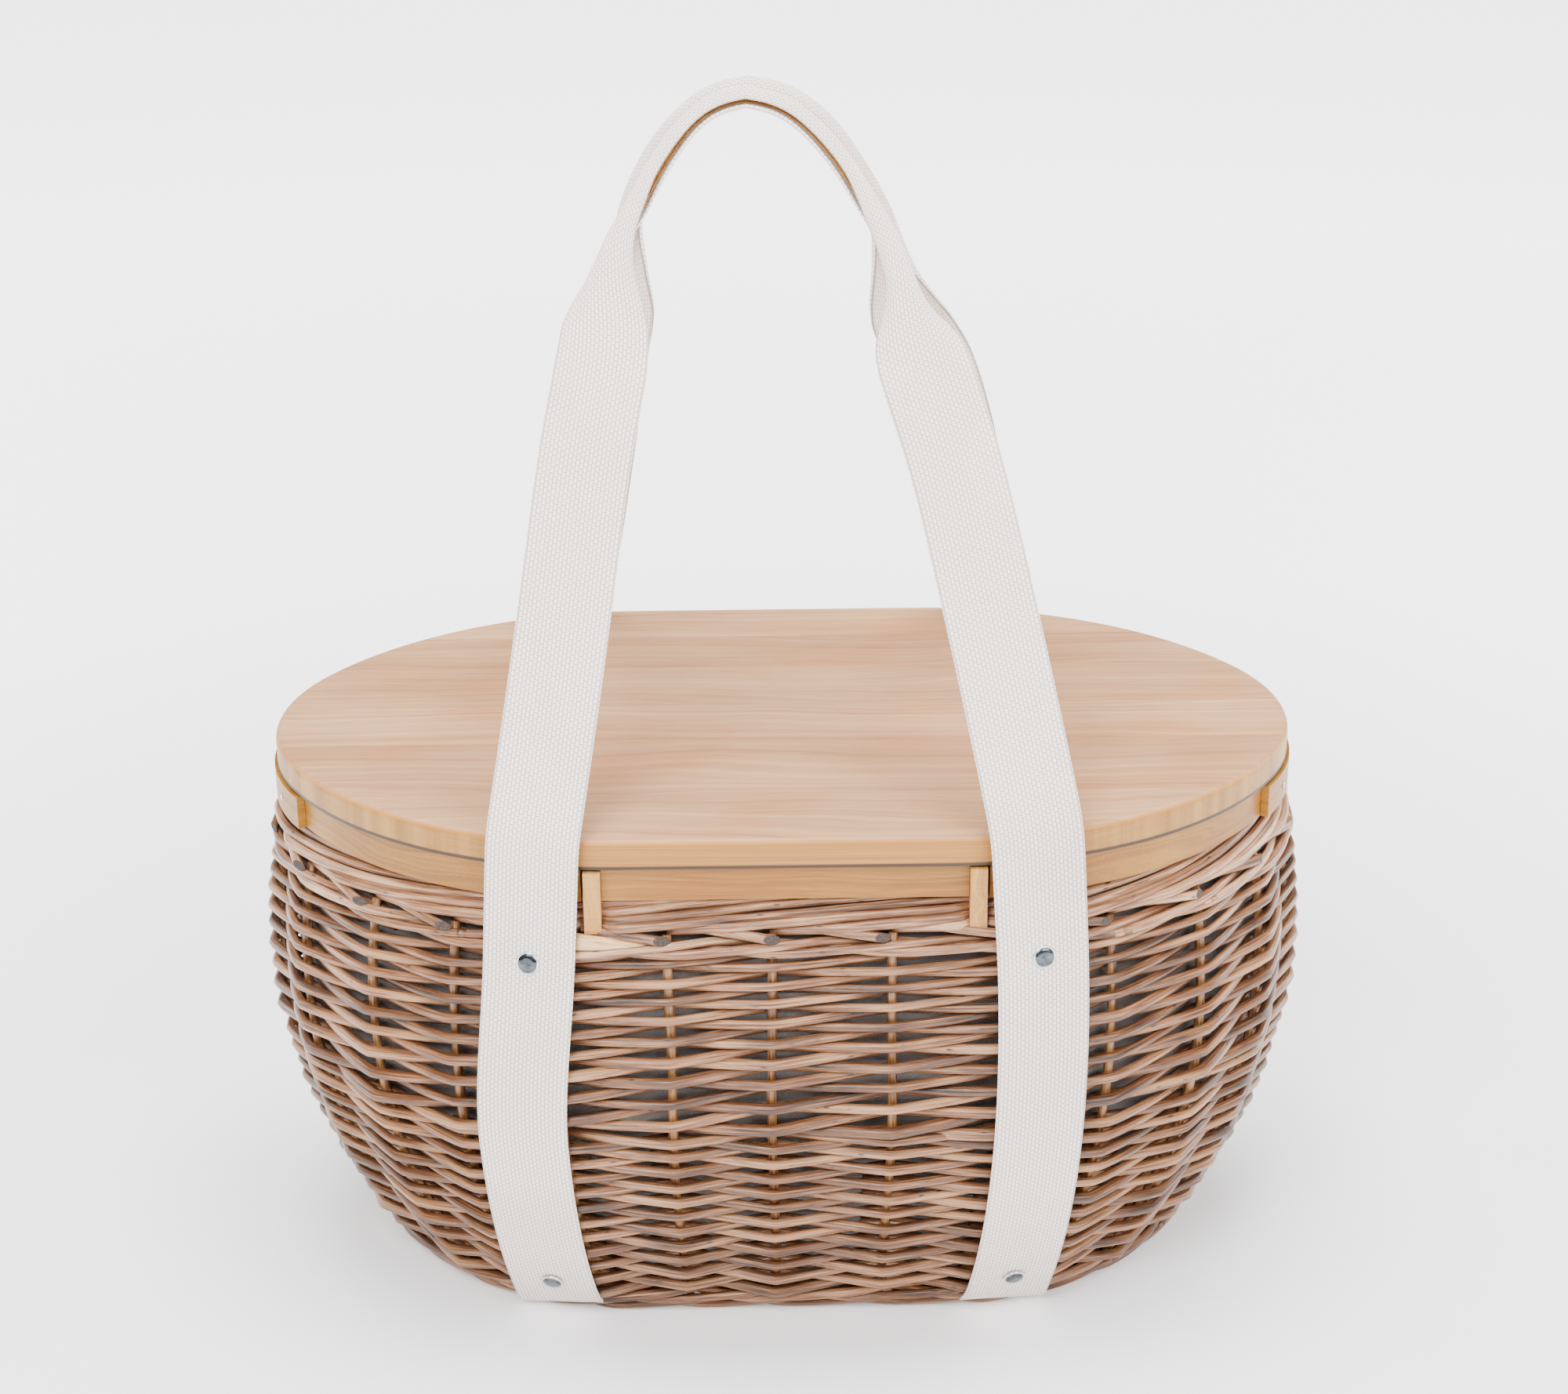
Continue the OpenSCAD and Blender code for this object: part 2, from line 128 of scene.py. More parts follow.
def oval(u):
    """Lid outline and its outward normal at u mm along the wall's widest line, from the middle
    of the front towards +X. Every level of the wall shares these normals."""
    t = np.mod(u, PERIMETER)
    k = np.floor(t / QUARTER)
    s = np.where(k % 2 == 0, t - k * QUARTER, (k + 1) * QUARTER - t)
    sx = np.where(k < 2, 1.0, -1.0)
    sy = np.where((k == 0) | (k == 3), -1.0, 1.0)
    past_straight = np.maximum(s - STRAIGHT, 0)
    past_shoulder = np.maximum(past_straight - SHOULDER_ARC, 0)
    angle = math.pi / 2 - np.minimum(past_straight, SHOULDER_ARC) / (SHOULDER_R + BULGE)
    angle = angle - past_shoulder / (END_R + BULGE)
    on_end = past_shoulder > 0
    radius = np.where(on_end, END_R, SHOULDER_R)[..., None]
    centre_x = np.where(on_end, END_X, np.minimum(s, STRAIGHT))
    centre = np.stack([centre_x, np.where(on_end, 0.0, SHOULDER_Y)], -1)
    corner = np.stack([sx, sy], -1)
    return (centre + radius * spin(angle)) * corner, spin(angle) * corner


def wall(u, z, depth):
    """Point of the wall at height z of its middle line and a depth in from its outer face,
    and the wall's outward normal there."""
    u, z, depth = np.broadcast_arrays(*(np.asarray(a, float) for a in (u, z, depth)))
    base, n = oval(u)
    rise = np.clip((z - BULGE_Z) / (WALL_R - MID), -0.99, 0.99)
    fall = np.sqrt(1 - rise * rise)
    r = WALL_R - depth
    point = with_z(base + n * (BULGE - WALL_R + r * fall)[..., None], BULGE_Z + r * rise)
    return point, with_z(n * fall[..., None], rise)


def unit(v):
    return v / np.maximum(np.linalg.norm(v, axis=-1, keepdims=True), 1e-9)


def lengths(path):
    """How far along a path each of its points lies."""
    return np.concatenate([[0], np.cumsum(np.linalg.norm(np.diff(path, axis=0), axis=1))])


def ease(x):
    """Goes smoothly from 0 to 1 while x does."""
    x = np.clip(x, 0, 1)
    return x**2 * (3 - 2 * x)


def hump(x, middle, width, power=2):
    """1 at the middle, fading out on both sides."""
    return np.exp(-(((x - middle) / width) ** power))


def waver(rng, size, x):
    """A wave of this size that starts anywhere in its turn."""
    return size * np.sin(x + rng.uniform(0, TAU))


def circles(path, normals, sides, squeeze=1.0):
    """Circles square to a path: the path's tangents, the angle of each side, and the circles."""
    tangent = unit(np.gradient(path, axis=0))
    out = unit(normals - tangent * np.sum(normals * tangent, -1, keepdims=True))
    side = np.cross(tangent, out)
    angle = np.arange(sides) * TAU / sides
    ring = out[:, None] * np.cos(angle)[:, None] * squeeze + side[:, None] * np.sin(angle)[:, None]
    return tangent, angle, ring


def rod_grain(length, radii, angle):
    """Grain of a rod: the place along it, and the place in its section."""
    radii = radii[:, None]
    section = radii * np.cos(angle), radii * np.sin(angle)
    return np.stack(np.broadcast_arrays(length[:, None], *section), -1)


def flat_grain(along, across):
    """Grain of a flat piece: the place along it and across it."""
    return np.stack(np.broadcast_arrays(along[:, None], across[None], 0.0), -1)


def add_object(name, data):
    obj = bpy.data.objects.new(name, data)
    bpy.context.scene.collection.objects.link(obj)
    return obj


# ---------- meshes ----------


class Mesh:
    """Gathers rings of vertices and their faces, with two values per vertex for the materials:
    grain is the place in the piece's own lengthwise frame, tone its random shade."""

    def __init__(self):
        self.points, self.grain, self.tone, self.faces = [], [], [], []
        self.count = 0

    def grid(self, points, grain, tone=EVEN, closed=False, flip=False):
        """Quads between rows of points. Every row joins up, and the last row joins the first if
        closed."""
        rows, columns = points.shape[:2]
        index = self.count + np.arange(rows * columns).reshape(rows, columns)
        if closed:
            index = np.vstack([index, index[:1]])
        index = np.hstack([index, index[:, :1]])
        quads = np.stack([index[:-1, :-1], index[:-1, 1:], index[1:, 1:], index[1:, :-1]], -1)
        quads = quads.reshape(-1, 4)
        self.faces.append(quads[:, ::-1] if flip else quads)
        self.points.append(points.reshape(-1, 3))
        self.grain.append(np.broadcast_to(grain, points.shape).reshape(-1, 3))
        self.tone.append(np.broadcast_to(tone, points.shape).reshape(-1, 3))
        self.count += rows * columns
        return index

    def ends(self, index, flip=False):
        """Closes the first and the last ring of a grid."""
        first, last = index[0, :-1], index[-1, :-1]
        self.faces.append((first if flip else first[::-1]).reshape(1, -1))
        self.faces.append((last[::-1] if flip else last).reshape(1, -1))

    def tube(self, path, normals, radii, tone, sides=8, along=0.0, squeeze=1.0):
        """Round rod along a path. The ends are closed flat."""
        _, angle, ring = circles(path, normals, sides, squeeze)
        radii = np.broadcast_to(radii, len(path))
        points = path[:, None] + ring * radii[:, None, None]
        self.ends(self.grid(points, rod_grain(along + lengths(path), radii, angle), tone))

    def build(self, name, material):
        points = np.concatenate(self.points) * MM
        corners = np.concatenate([f.ravel() for f in self.faces])
        sizes = np.concatenate([np.full(len(f), f.shape[1]) for f in self.faces])
        starts = np.concatenate([[0], np.cumsum(sizes)[:-1]])
        mesh = bpy.data.meshes.new(name)
        mesh.vertices.add(len(points))
        mesh.vertices.foreach_set("co", points.astype(np.float32).ravel())
        mesh.loops.add(len(corners))
        mesh.loops.foreach_set("vertex_index", corners.astype(np.int32))
        mesh.polygons.add(len(sizes))
        mesh.polygons.foreach_set("loop_start", starts.astype(np.int32))
        for label, values in (("grain", self.grain), ("tone", self.tone)):
            attribute = mesh.attributes.new(label, "FLOAT_VECTOR", "POINT")
            attribute.data.foreach_set("vector", np.concatenate(values).astype(np.float32).ravel())
        mesh.update(calc_edges=True)
        mesh.validate()
        mesh.polygons.foreach_set("use_smooth", np.full(len(mesh.polygons), True))
        mesh.materials.append(material)
        return add_object(name, mesh)


def shell(name, material, points, grain, ends=False, **how):
    """A piece that is a single grid."""
    mesh = Mesh()
    index = mesh.grid(points, grain, **how)
    if ends:
        mesh.ends(index, how["flip"])
    return mesh.build(name, material)


# ---------- materials ----------


def linear(colour):
    """Scene-linear RGBA of an 8-bit display colour."""
    return (*(((v / 255 + 0.055) / 1.055) ** 2.4 if v > 10 else v / 3294.6 for v in colour), 1)


class Shader:
    """Short-hand for building one node material. Colours are given as 8-bit display colours."""

    def __init__(self, name):
        self.material = bpy.data.materials.new(name)
        self.material.use_nodes = True
        self.nodes = self.material.node_tree.nodes
        self.links = self.material.node_tree.links
        self.bsdf = self.nodes["Principled BSDF"]

    def node(self, kind, inputs=(), **settings):
        n = self.nodes.new(kind)
        for key, value in settings.items():
            setattr(n, key, value)
        for key, value in dict(inputs).items():
            self.put(n.inputs[key], value)
        return n

    def put(self, socket, value):
        if isinstance(value, bpy.types.NodeSocket):
            self.links.new(value, socket)
        elif isinstance(value, tuple) and len(value) == 3 and socket.type == "RGBA":
            socket.default_value = linear(value)
        else:
            socket.default_value = value

    def attribute(self, name):
        return self.node("ShaderNodeAttribute", attribute_name=name).outputs["Vector"]

    def place(self):
        return self.node("ShaderNodeTexCoord").outputs["Object"]

    def scaled(self, vector, scale, move=(0, 0, 0)):
        inputs = {"Vector": vector, "Scale": scale, "Location": move}
        return self.node("ShaderNodeMapping", inputs).outputs["Vector"]

    def split(self, vector):
        return self.node("ShaderNodeSeparateXYZ", {"Vector": vector}).outputs

    def math(self, operation, a, b=0.0):
        return self.node("ShaderNodeMath", {0: a, 1: b}, operation=operation).outputs[0]

    def plus(self, a, b):
        return self.math("ADD", a, b)

    def minus(self, a, b):
        return self.math("SUBTRACT", a, b)

    def times(self, a, b):
        return self.math("MULTIPLY", a, b)

    def noise(self, vector, scale, detail, rough):
        inputs = {"Vector": vector, "Scale": scale, "Detail": detail, "Roughness": rough}
        return self.node("ShaderNodeTexNoise", inputs).outputs["Fac"]

    def streaks(self, vector, scale, detail=2.0, rough=0.5):
        """Noise with a scale of its own on each axis."""
        return self.noise(self.scaled(vector, scale), 1.0, detail, rough)

    def bands(self, value, detail, rough=0.5):
        """Noise that follows a single value."""
        inputs = {"W": value, "Scale": 1.0, "Detail": detail, "Roughness": rough}
        return self.node("ShaderNodeTexNoise", inputs, noise_dimensions="1D").outputs["Fac"]

    def ramp(self, value, *stops):
        """Maps a value through (place, colour or grey) stops."""
        n = self.node("ShaderNodeValToRGB", {"Fac": value})
        elements = n.color_ramp.elements
        while len(elements) < len(stops):
            elements.new(0.5)
        for element, (where, colour) in zip(elements, stops):
            element.position = where
            grey = isinstance(colour, (int, float))
            element.color = (colour, colour, colour, 1) if grey else linear(colour)
        return n.outputs["Color"]

    def mix(self, factor, a, b, kind="MIX"):
        n = self.node("ShaderNodeMix", data_type="RGBA", blend_type=kind)
        self.put(n.inputs["Factor"], factor)
        self.put(n.inputs["A"], a)
        self.put(n.inputs["B"], b)
        return n.outputs["Result"]

    def bump(self, height, distance, strength):
        inputs = {"Height": height, "Distance": distance, "Strength": strength}
        self.put(self.bsdf.inputs["Normal"], self.node("ShaderNodeBump", inputs).outputs["Normal"])

    def finish(self, colour, rough, **sockets):
        self.put(self.bsdf.inputs["Base Color"], colour)
        self.put(self.bsdf.inputs["Roughness"], rough)
        for key, value in sockets.items():
            self.put(self.bsdf.inputs[key.replace("_", " ")], value)
        return self.material


def willow(name, dark, middle, light, flecks=0.9):
    """Washed willow: per-rod shade, lengthwise streaks and paired dark leaf scars."""
    s = Shader(name)
    shade, warm, seed = s.split(s.attribute("tone"))
    offset = s.node("ShaderNodeCombineXYZ", {"X": s.times(seed, 311), "Y": s.times(seed, 57)})
    inputs = {0: s.attribute("grain"), 1: offset.outputs["Vector"]}
    moved = s.node("ShaderNodeVectorMath", inputs, operation="ADD").outputs["Vector"]
    streaks = s.streaks(moved, (0.035, 1.1, 1.1), 4.0, 0.6)
    patches = s.streaks(moved, (0.018, 0.16, 0.16), 3.0, 0.55)
    fine = s.streaks(moved, (0.22, 3.2, 3.2))
    level = s.plus(s.times(streaks, 0.85), s.times(patches, 0.6))
    level = s.plus(level, s.times(s.minus(shade, 0.5), 0.19))
    colour = s.ramp(level, (0.50, dark), (0.69, middle), (0.90, light))
    orange = s.mix(0.75, colour, (202, 150, 104), "MULTIPLY")
    colour = s.mix(s.times(s.ramp(warm, (0.45, 0.0), (1.0, 0.75)), patches), colour, orange)
    inputs = {"Vector": s.scaled(moved, (0.055, 0.16, 0.16)), "Scale": 1.0}
    scars = s.node("ShaderNodeTexVoronoi", inputs).outputs["Distance"]
    scar = s.ramp(scars, (0.06, 1.0), (0.14, 0.0))
    colour = s.mix(s.times(scar, flecks), colour, (64, 42, 34))
    colour = s.mix(s.ramp(fine, (0.62, 0.0), (0.86, 0.3)), colour, (96, 70, 56))
    rough = s.ramp(streaks, (0.3, 0.44), (0.75, 0.25))
    height = s.plus(s.times(streaks, 0.7), s.times(fine, 0.35))
    s.bump(s.minus(height, s.times(scar, 0.8)), 0.0005, 0.55)
    return s.finish(colour, rough, Specular_IOR_Level=0.5, Coat_Weight=0.1, Coat_Roughness=0.2)


def cut_end(name):
    """Slant-cut end of a rod: grey pith with fine radial cracks."""
    s = Shader(name)
    fibres = s.streaks(s.attribute("grain"), (0.2, 1.4, 1.4), 4.0, 0.6)
    colour = s.ramp(fibres, (0.3, (32, 24, 20)), (0.7, (80, 64, 56)))
    s.bump(fibres, 0.0006, 0.7)
    return s.finish(colour, 0.75)


def planed_wood(name, tones, grain_pitch, across, edge=None, seed=0.0):
    """Planed softwood with its grain along X. The rings repeat about every grain_pitch mm on the
    axis across, and edge recolours what isn't a planed face."""
    s = Shader(name)
    where = s.scaled(s.place(), (1, 1, 1), (seed * 3.1, seed, seed * 0.7))
    wander = s.streaks(where, (4, 12, 30))
    rings = s.plus(s.times(s.split(where)[across], 1000 / grain_pitch), s.times(wander, 9.0))
    fibre = s.streaks(where, (50, 1900, 1900), 3.0, 0.6)
    cloud = s.streaks(where, (6, 20, 20))
    level = s.plus(s.times(s.bands(rings, 4.0, 0.62), 0.4), s.times(fibre, 0.3))
    level = s.plus(level, s.times(cloud, 0.35))
    colour = s.ramp(level, (0.36, tones[0]), (0.53, tones[1]), (0.72, tones[2]))
    stain = s.ramp(s.streaks(where, (9, 14, 14)), (0.5, 0.0), (0.72, 0.55))
    colour = s.mix(stain, colour, (250, 214, 176), "MULTIPLY")
    if edge:
        colour = edge(s, where, colour)
    s.bump(level, 0.0004, 0.35)
    rough = s.ramp(fibre, (0.3, 0.5), (0.8, 0.38))
    return s.finish(colour, rough, Specular_IOR_Level=0.35, Coat_Weight=0.08, Coat_Roughness=0.3)


def lid_edge_colours(s, where, colour):
    """The lid's cut edge shows end grain in vertical blocks where it curves and long grain where
    it is straight. Its arris is stained warmer."""
    normal = s.split(s.node("ShaderNodeNewGeometry").outputs["Normal"])
    upright = s.math("ABSOLUTE", normal[2])
    blocks = s.bands(s.times(s.split(where)[0], 1000 / 9.0), 3.0)
    end_grain = s.ramp(blocks, (0.35, (138, 94, 36)), (0.65, (174, 129, 60)))
    fibres = s.streaks(where, (8, 100, 900), 3.0, 0.6)
    long_grain = s.ramp(fibres, (0.3, (148, 96, 34)), (0.7, (176, 122, 50)))
    curved = s.ramp(s.math("ABSOLUTE", normal[0]), (0.12, 0.0), (0.6, 0.75))
    side = s.ramp(upright, (0.55, 1.0), (0.93, 0.0))
    colour = s.mix(side, colour, s.mix(curved, long_grain, end_grain))
    arris = s.ramp(upright, (0.30, 0.0), (0.62, 0.55), (0.97, 0.0))
    colour = s.mix(arris, colour, (184, 118, 48))
    # Painted shade along the lower arris, standing in for the shadow in the gap between lid and
    # rim, fading out from 1.5 to 2.4 mm up
    height = s.minus(s.split(s.place())[2], LID_LOW[2] * MM)
    painted_gap_shade = s.ramp(s.times(height, 230), (0.35, 0.95), (0.55, 0.0))
    return s.mix(painted_gap_shade, colour, (46, 27, 12))


def webbing(name, base, shadow):
    """Heavy cotton webbing: staggered little floats along and across the strap."""
    s = Shader(name)
    grain = s.split(s.attribute("grain"))
    column = s.math("DIVIDE", grain[1], 2.2)
    stagger = s.times(s.math("FLOOR", column), 0.5)
    row = s.plus(s.math("DIVIDE", grain[0], 3.1), stagger)
    across, along = (
        s.math("SINE", s.times(s.math("FRACT", step), math.pi)) for step in (column, row)
    )
    floats = s.times(across, along)
    fuzz = s.noise(s.place(), 900.0, 2.0, 0.6)
    soil = s.ramp(s.noise(s.place(), 14.0, 3.0, 0.5), (0.45, 0.0), (0.8, 0.35))
    colour = s.ramp(floats, (0.0, shadow), (0.42, base))
    colour = s.mix(soil, colour, (222, 212, 204), "MULTIPLY")
    s.bump(s.plus(floats, s.times(fuzz, 0.3)), 0.0006, 1.0)
    return s.finish(colour, 0.88, Sheen_Weight=0.25, Sheen_Roughness=0.5, Specular_IOR_Level=0.25)


def canvas(name, base, shadow, pitch):
    """Plain-woven canvas, thread by thread."""
    s = Shader(name)
    grain = s.split(s.attribute("grain"))
    warp, weft = (s.math("SINE", s.times(grain[k], TAU / pitch)) for k in (0, 1))
    threads = s.plus(s.times(s.times(warp, weft), 0.5), 0.5)
    slub = s.streaks(s.attribute("grain"), (0.05, 0.5, 0.5))
    level = s.plus(s.times(threads, 0.75), s.times(slub, 0.25))
    colour = s.ramp(level, (0.25, shadow), (0.75, base))
    s.bump(level, 0.0004, 0.6)
    return s.finish(colour, 0.92, Sheen_Weight=0.2, Specular_IOR_Level=0.2)


def lining(name):
    """Tan ribbed lining with a fine diagonal rib."""
    s = Shader(name)
    grain = s.split(s.attribute("grain"))
    diagonal = s.plus(grain[0], s.times(grain[1], 0.6))
    rib = s.math("SINE", s.times(diagonal, TAU / 1.6))
    mottle = s.noise(s.place(), 160.0, 3.0, 0.6)
    colour = s.ramp(mottle, (0.3, (196, 146, 84)), (0.7, (226, 182, 116)))
    # Painted shade: darker tan in the rib's troughs, where the bump is lowest
    colour = s.mix(s.ramp(rib, (0.0, 0.35), (1.0, 0.0)), colour, (170, 122, 70))
    s.bump(rib, 0.0003, 0.5)
    return s.finish(colour, 0.7, Sheen_Weight=0.1)


def nickel(name, crown=False):
    """Bright nickel with handling smears. A cap's crown gets a painted reflection, darker than its
    rim.
    """
    s = Shader(name)
    smear = s.noise(s.place(), 260.0, 3.0, 0.6)
    colour = s.ramp(smear, (0.3, (196, 194, 192)), (0.7, (232, 231, 230)))
    if crown:
        # Painted reflection: the crown inside the rolled rim is darkened, as if its dome mirrored
        # dark surroundings
        out = s.math("DIVIDE", s.split(s.attribute("grain"))[0], 6.0)
        dark = s.ramp(smear, (0.3, (56, 61, 66)), (0.7, (104, 110, 115)))
        colour = s.mix(s.ramp(out, (0.85, 1.0), (0.91, 0.0)), colour, dark)
    rough = s.ramp(smear, (0.3, 0.14), (0.8, 0.3))
    s.bump(s.streaks(s.place(), (400, 3000, 800)), 0.00008, 0.4)
    return s.finish(colour, rough, Metallic=1.0)


WILLOW = willow("willow_rods", (40, 22, 10), (108, 67, 38), (174, 128, 90))
WILLOW_GREY = willow("willow_border", (64, 37, 22), (136, 91, 60), (200, 160, 125))
WILLOW_STAKE = willow("willow_stakes", (60, 35, 16), (112, 72, 38), (172, 125, 80), 0.6)
PEELED = willow("willow_peeled", (176, 128, 78), (220, 178, 124), (238, 206, 162), 0.3)
CUT_END = cut_end("willow_cut_end")
WEBBING = webbing("cotton_webbing", (253, 242, 236), (188, 167, 158))
CANVAS = canvas("liner_canvas", (150, 142, 138), (70, 64, 63), 1.1)
HEM = canvas("liner_hem", (142, 135, 132), (84, 78, 77), 0.9)
LINING = lining("grip_lining")
NICKEL = nickel("nickel")
NICKEL_CAP = nickel("nickel_cap", crown=True)
PINE_TONES = ((112, 71, 16), (148, 100, 30), (181, 132, 52))
POST_TONES = ((156, 106, 46), (192, 142, 72), (216, 172, 100))
PINE = planed_wood("rim_pine", PINE_TONES, 5.0, across=2)
POST_PINE = planed_wood("post_pine", POST_TONES, 5.0, across=0)
LID_TONES = [
    ((146, 104, 70), (177, 134, 96), (198, 159, 121)),
    ((142, 100, 67), (173, 129, 92), (195, 155, 118)),
    ((151, 109, 74), (182, 138, 100), (202, 163, 125)),
]


# ---------- the stakes ----------

draw = random.Random(7)
LEAN = 10.0  # mm along the wall that the stakes gather at the foot
# How far each stake stands off its even place, in mm, counted from the middle of the front
nudges = [draw.uniform(-3.5, 3.5) for _ in range(STAKES)]
nudges[-1], nudges[0], nudges[1] = -1.0, -8.0, -5.0
STAKE_U = np.array([i * STEP + nudges[i] for i in range(STAKES)])


def around(t, z=BULGE_Z):
    """Place along the oval of t, counted in stakes. Low down the stakes gather off the ends."""
    turn = np.floor(t)
    i = np.mod(turn, STAKES).astype(int)
    lap = np.floor(turn / STAKES)
    here = STAKE_U[i] + lap * PERIMETER
    there = STAKE_U[(i + 1) % STAKES] + (lap + (i == STAKES - 1)) * PERIMETER
    u = here + (there - here) * (t - turn)
    low = np.clip((BULGE_Z - z) / (BULGE_Z - FOOT_HIGH[2]), 0, 1.2)
    return u - LEAN * np.sin(2 * TAU * u / PERIMETER) * low * low


def rod_tone(spread=1.0):
    return (0.5 + (draw.random() - 0.5) * spread, draw.random(), draw.random())


def make_stakes():
    mesh = Mesh()
    for i in range(STAKES):
        z = np.linspace(FOOT_LOW[2] + 4, BORDER_LOW[2] + 4, 24)
        sway = waver(draw, 0.6, z / draw.uniform(22, 40))
        point, normal = wall(around(np.full(len(z), float(i)), z) + sway, z, MID)
        knots = 1 + waver(draw, 0.08, z / draw.uniform(9, 14))
        mesh.tube(point, normal, draw.uniform(2.5, 2.85) * knots, rod_tone(0.7), sides=10)
    return mesh.build("stake_rods", WILLOW_STAKE)


# ---------- the side weave ----------

SHARP = 0.998  # how straight a rod runs from stake to stake
SAMPLES = 12  # points from stake to stake
STAKE_R = 2.7
REACH = 0.22  # how far a rod's end goes past its last stake, in steps
ALONG = 500  # mm of streaks that a rod may start anywhere in
SEAM = STAKES // 2  # the rows begin and end at the middle of the back


# Two zones of rows: the first row's height, the pitch there, how fast the rows get closer, their
# climb from stake to stake, and the rods' radii by height
CLIMB = 16 / STAKES
LOWER = (21.0, 7.0, 0.0162, 0.0, ((20, 140), (3.0, 2.6)))
UPPER = (147.0, 7.5, 0.0262, CLIMB, ((148, 200, 252), (3.2, 2.9, 2.45)))
LOWER_ROWS, UPPER_ROWS = 22, 18.7


def in_and_out(t):
    """+1 in front of a stake, -1 behind the next: nearly straight between them."""
    return np.arcsin(SHARP * np.cos(math.pi * t)) / math.asin(SHARP)


def weave_rod(mesh, zone, row, side, start, stop, rng):
    """One rod of a row. It starts and ends just past a stake that it passes behind."""
    base, pitch, fall, climb, radii = zone
    t = np.arange(start * SAMPLES, stop * SAMPLES + 1) / SAMPLES
    before, after = (start - REACH, start - REACH / 2), (stop + REACH / 2, stop + REACH)
    t = np.concatenate([before, t, after])
    level = row + climb * (t - SEAM)
    z = base + pitch / fall * (1 - np.exp(-fall * level)) + rng.uniform(-0.35, 0.35)
    z = z + waver(rng, 0.4, t * rng.uniform(0.8, 1.6))
    r = np.interp(z, *radii) * rng.uniform(0.9, 1.1)
    r = r * (1.07 - 0.14 * (t - start) / (stop - start))
    swing = (STAKE_R + r) * rng.uniform(0.97, 1.04)
    tucked = np.maximum(np.maximum(start - t, t - stop), 0) / REACH
    depth = MID - swing * in_and_out(t + side) + 1.2 * tucked
    point, normal = wall(around(t, z), z, depth)
    mesh.tube(point, normal, r, rod_tone(), sides=10, along=rng.uniform(0, ALONG))


def weave_row(mesh, zone, row, side, low, high, rng):
    """Rods end to end from stake low to stake high. Each joint hides behind a stake."""
    behind = [k for k in range(math.ceil(low), math.floor(high) + 1) if (k + side) % 2]
    start = 0
    while start < len(behind) - 1:
        stop = start + rng.choice((3, 4, 4, 5))
        if stop > len(behind) - 2:
            stop = len(behind) - 1
        weave_rod(mesh, zone, row, side, behind[start], behind[stop], rng)
        start = stop


def make_weaves():
    """Level rows low down, and above them rows that climb in a spiral."""
    rng = random.Random(11)
    lower, upper = Mesh(), Mesh()
    for row in range(LOWER_ROWS):
        first = SEAM + rng.randint(-3, 3) * 2 + row % 2
        weave_row(lower, LOWER, row, row, first, first + STAKES, rng)
    for row in range(1 - int(CLIMB * STAKES), int(UPPER_ROWS) + 1):
        low = SEAM + max(0, (-0.5 - row) / CLIMB)
        high = SEAM + min(STAKES + 1, (UPPER_ROWS - row) / CLIMB)
        weave_row(upper, UPPER, row, row + 1, low, high, rng)
    return lower.build("lower_weave", WILLOW), upper.build("upper_weave", WILLOW)


def soften(values):
    """Running mean of five values."""
    return np.convolve(np.pad(values, 2, mode="edge"), np.ones(5) / 5, mode="valid")


def wale(mesh, z, rise, radius, rng, turn=0.0, inward=0.0):
    """Three strands, each in front of two stakes and behind the next, rising in front."""
    # A strand is made of rods seven steps long
    rod = 7 * SAMPLES
    for phase in (0, 1, 2):
        t = np.arange(0, STAKES + 0.51, 1 / SAMPLES) + rng.choice((8, 9, 10))
        p = np.mod(t + phase + turn, 3)
        out = soften(np.interp(p, (0, 0.35, 1.15, 2.1, 3), (0.75, 1, 1, -1, 0.75)))
        climb = soften(np.interp(p, (0, 1.5, 2.1, 3), (-0.7, 1, 0.2, -0.7)))
        height = z + rise * climb + waver(rng, 0.4, t * 1.3)
        depth = MID + inward - (STAKE_R + radius) * 0.93 * out + 1.3 * climb
        point, normal = wall(around(t, height), height, depth)
        r = radius * (1 + waver(rng, 0.07, t * 0.9))
        for start in range(0, len(t) - 1, rod):
            part = slice(start, start + rod + 3)
            mesh.tube(point[part], normal[part], r[part], rod_tone(), along=rng.uniform(0, ALONG))


# ---------- the top border ----------

BORDER_Z = 255.0  # the height at which its rods count their way round
WALE_Z, ROD_Z, TIP_Z = 259.6, 268.6, 270.5
BORDER_SPAN = 4.4  # how far each rod goes, in steps


def border_dip(u):
    """How far the border sinks behind the corner posts, whose faces cover it."""
    low, high = extent("post_front_right")
    return 7.0 * hump(np.abs(oval(u)[0][..., 0]), (low[0] + high[0]) / 2, 8.0, 4)


def make_border():
    """A wale of three strands, and rods laid over it that each pass a few stakes and end in a
    slant-cut tip."""
    rng = random.Random(23)
    mesh, cuts = Mesh(), Mesh()
    wale(mesh, WALE_Z, 3.9, 2.6, rng)
    for i in range(STAKES):
        past = np.linspace(0.0, BORDER_SPAN, int(BORDER_SPAN * SAMPLES) + 1)
        share = past / BORDER_SPAN
        height = ROD_Z + 4.2 * past + waver(rng, 0.5, share * 6)
        # It comes out quickly past its first stake, then sinks back in under its fellows
        depth = 9.0 - 7.4 * np.minimum(past / 0.6, 1) + 2.9 * np.clip(past - 0.6, 0, 2.8)
        u = around(i + past, BORDER_Z)
        depth = np.minimum(depth + border_dip(u), 11.4 - 1.4 * share)
        point, normal = wall(u, height, depth)
        r = rng.uniform(2.65, 2.95) * (1.04 - 0.14 * share)
        mesh.tube(point, normal, r, rod_tone(), along=rng.uniform(0, ALONG))
        add_tip(mesh, cuts, i, rng)
    return mesh.build("border_rods", WILLOW_GREY), cuts.build("border_cut_ends", CUT_END)


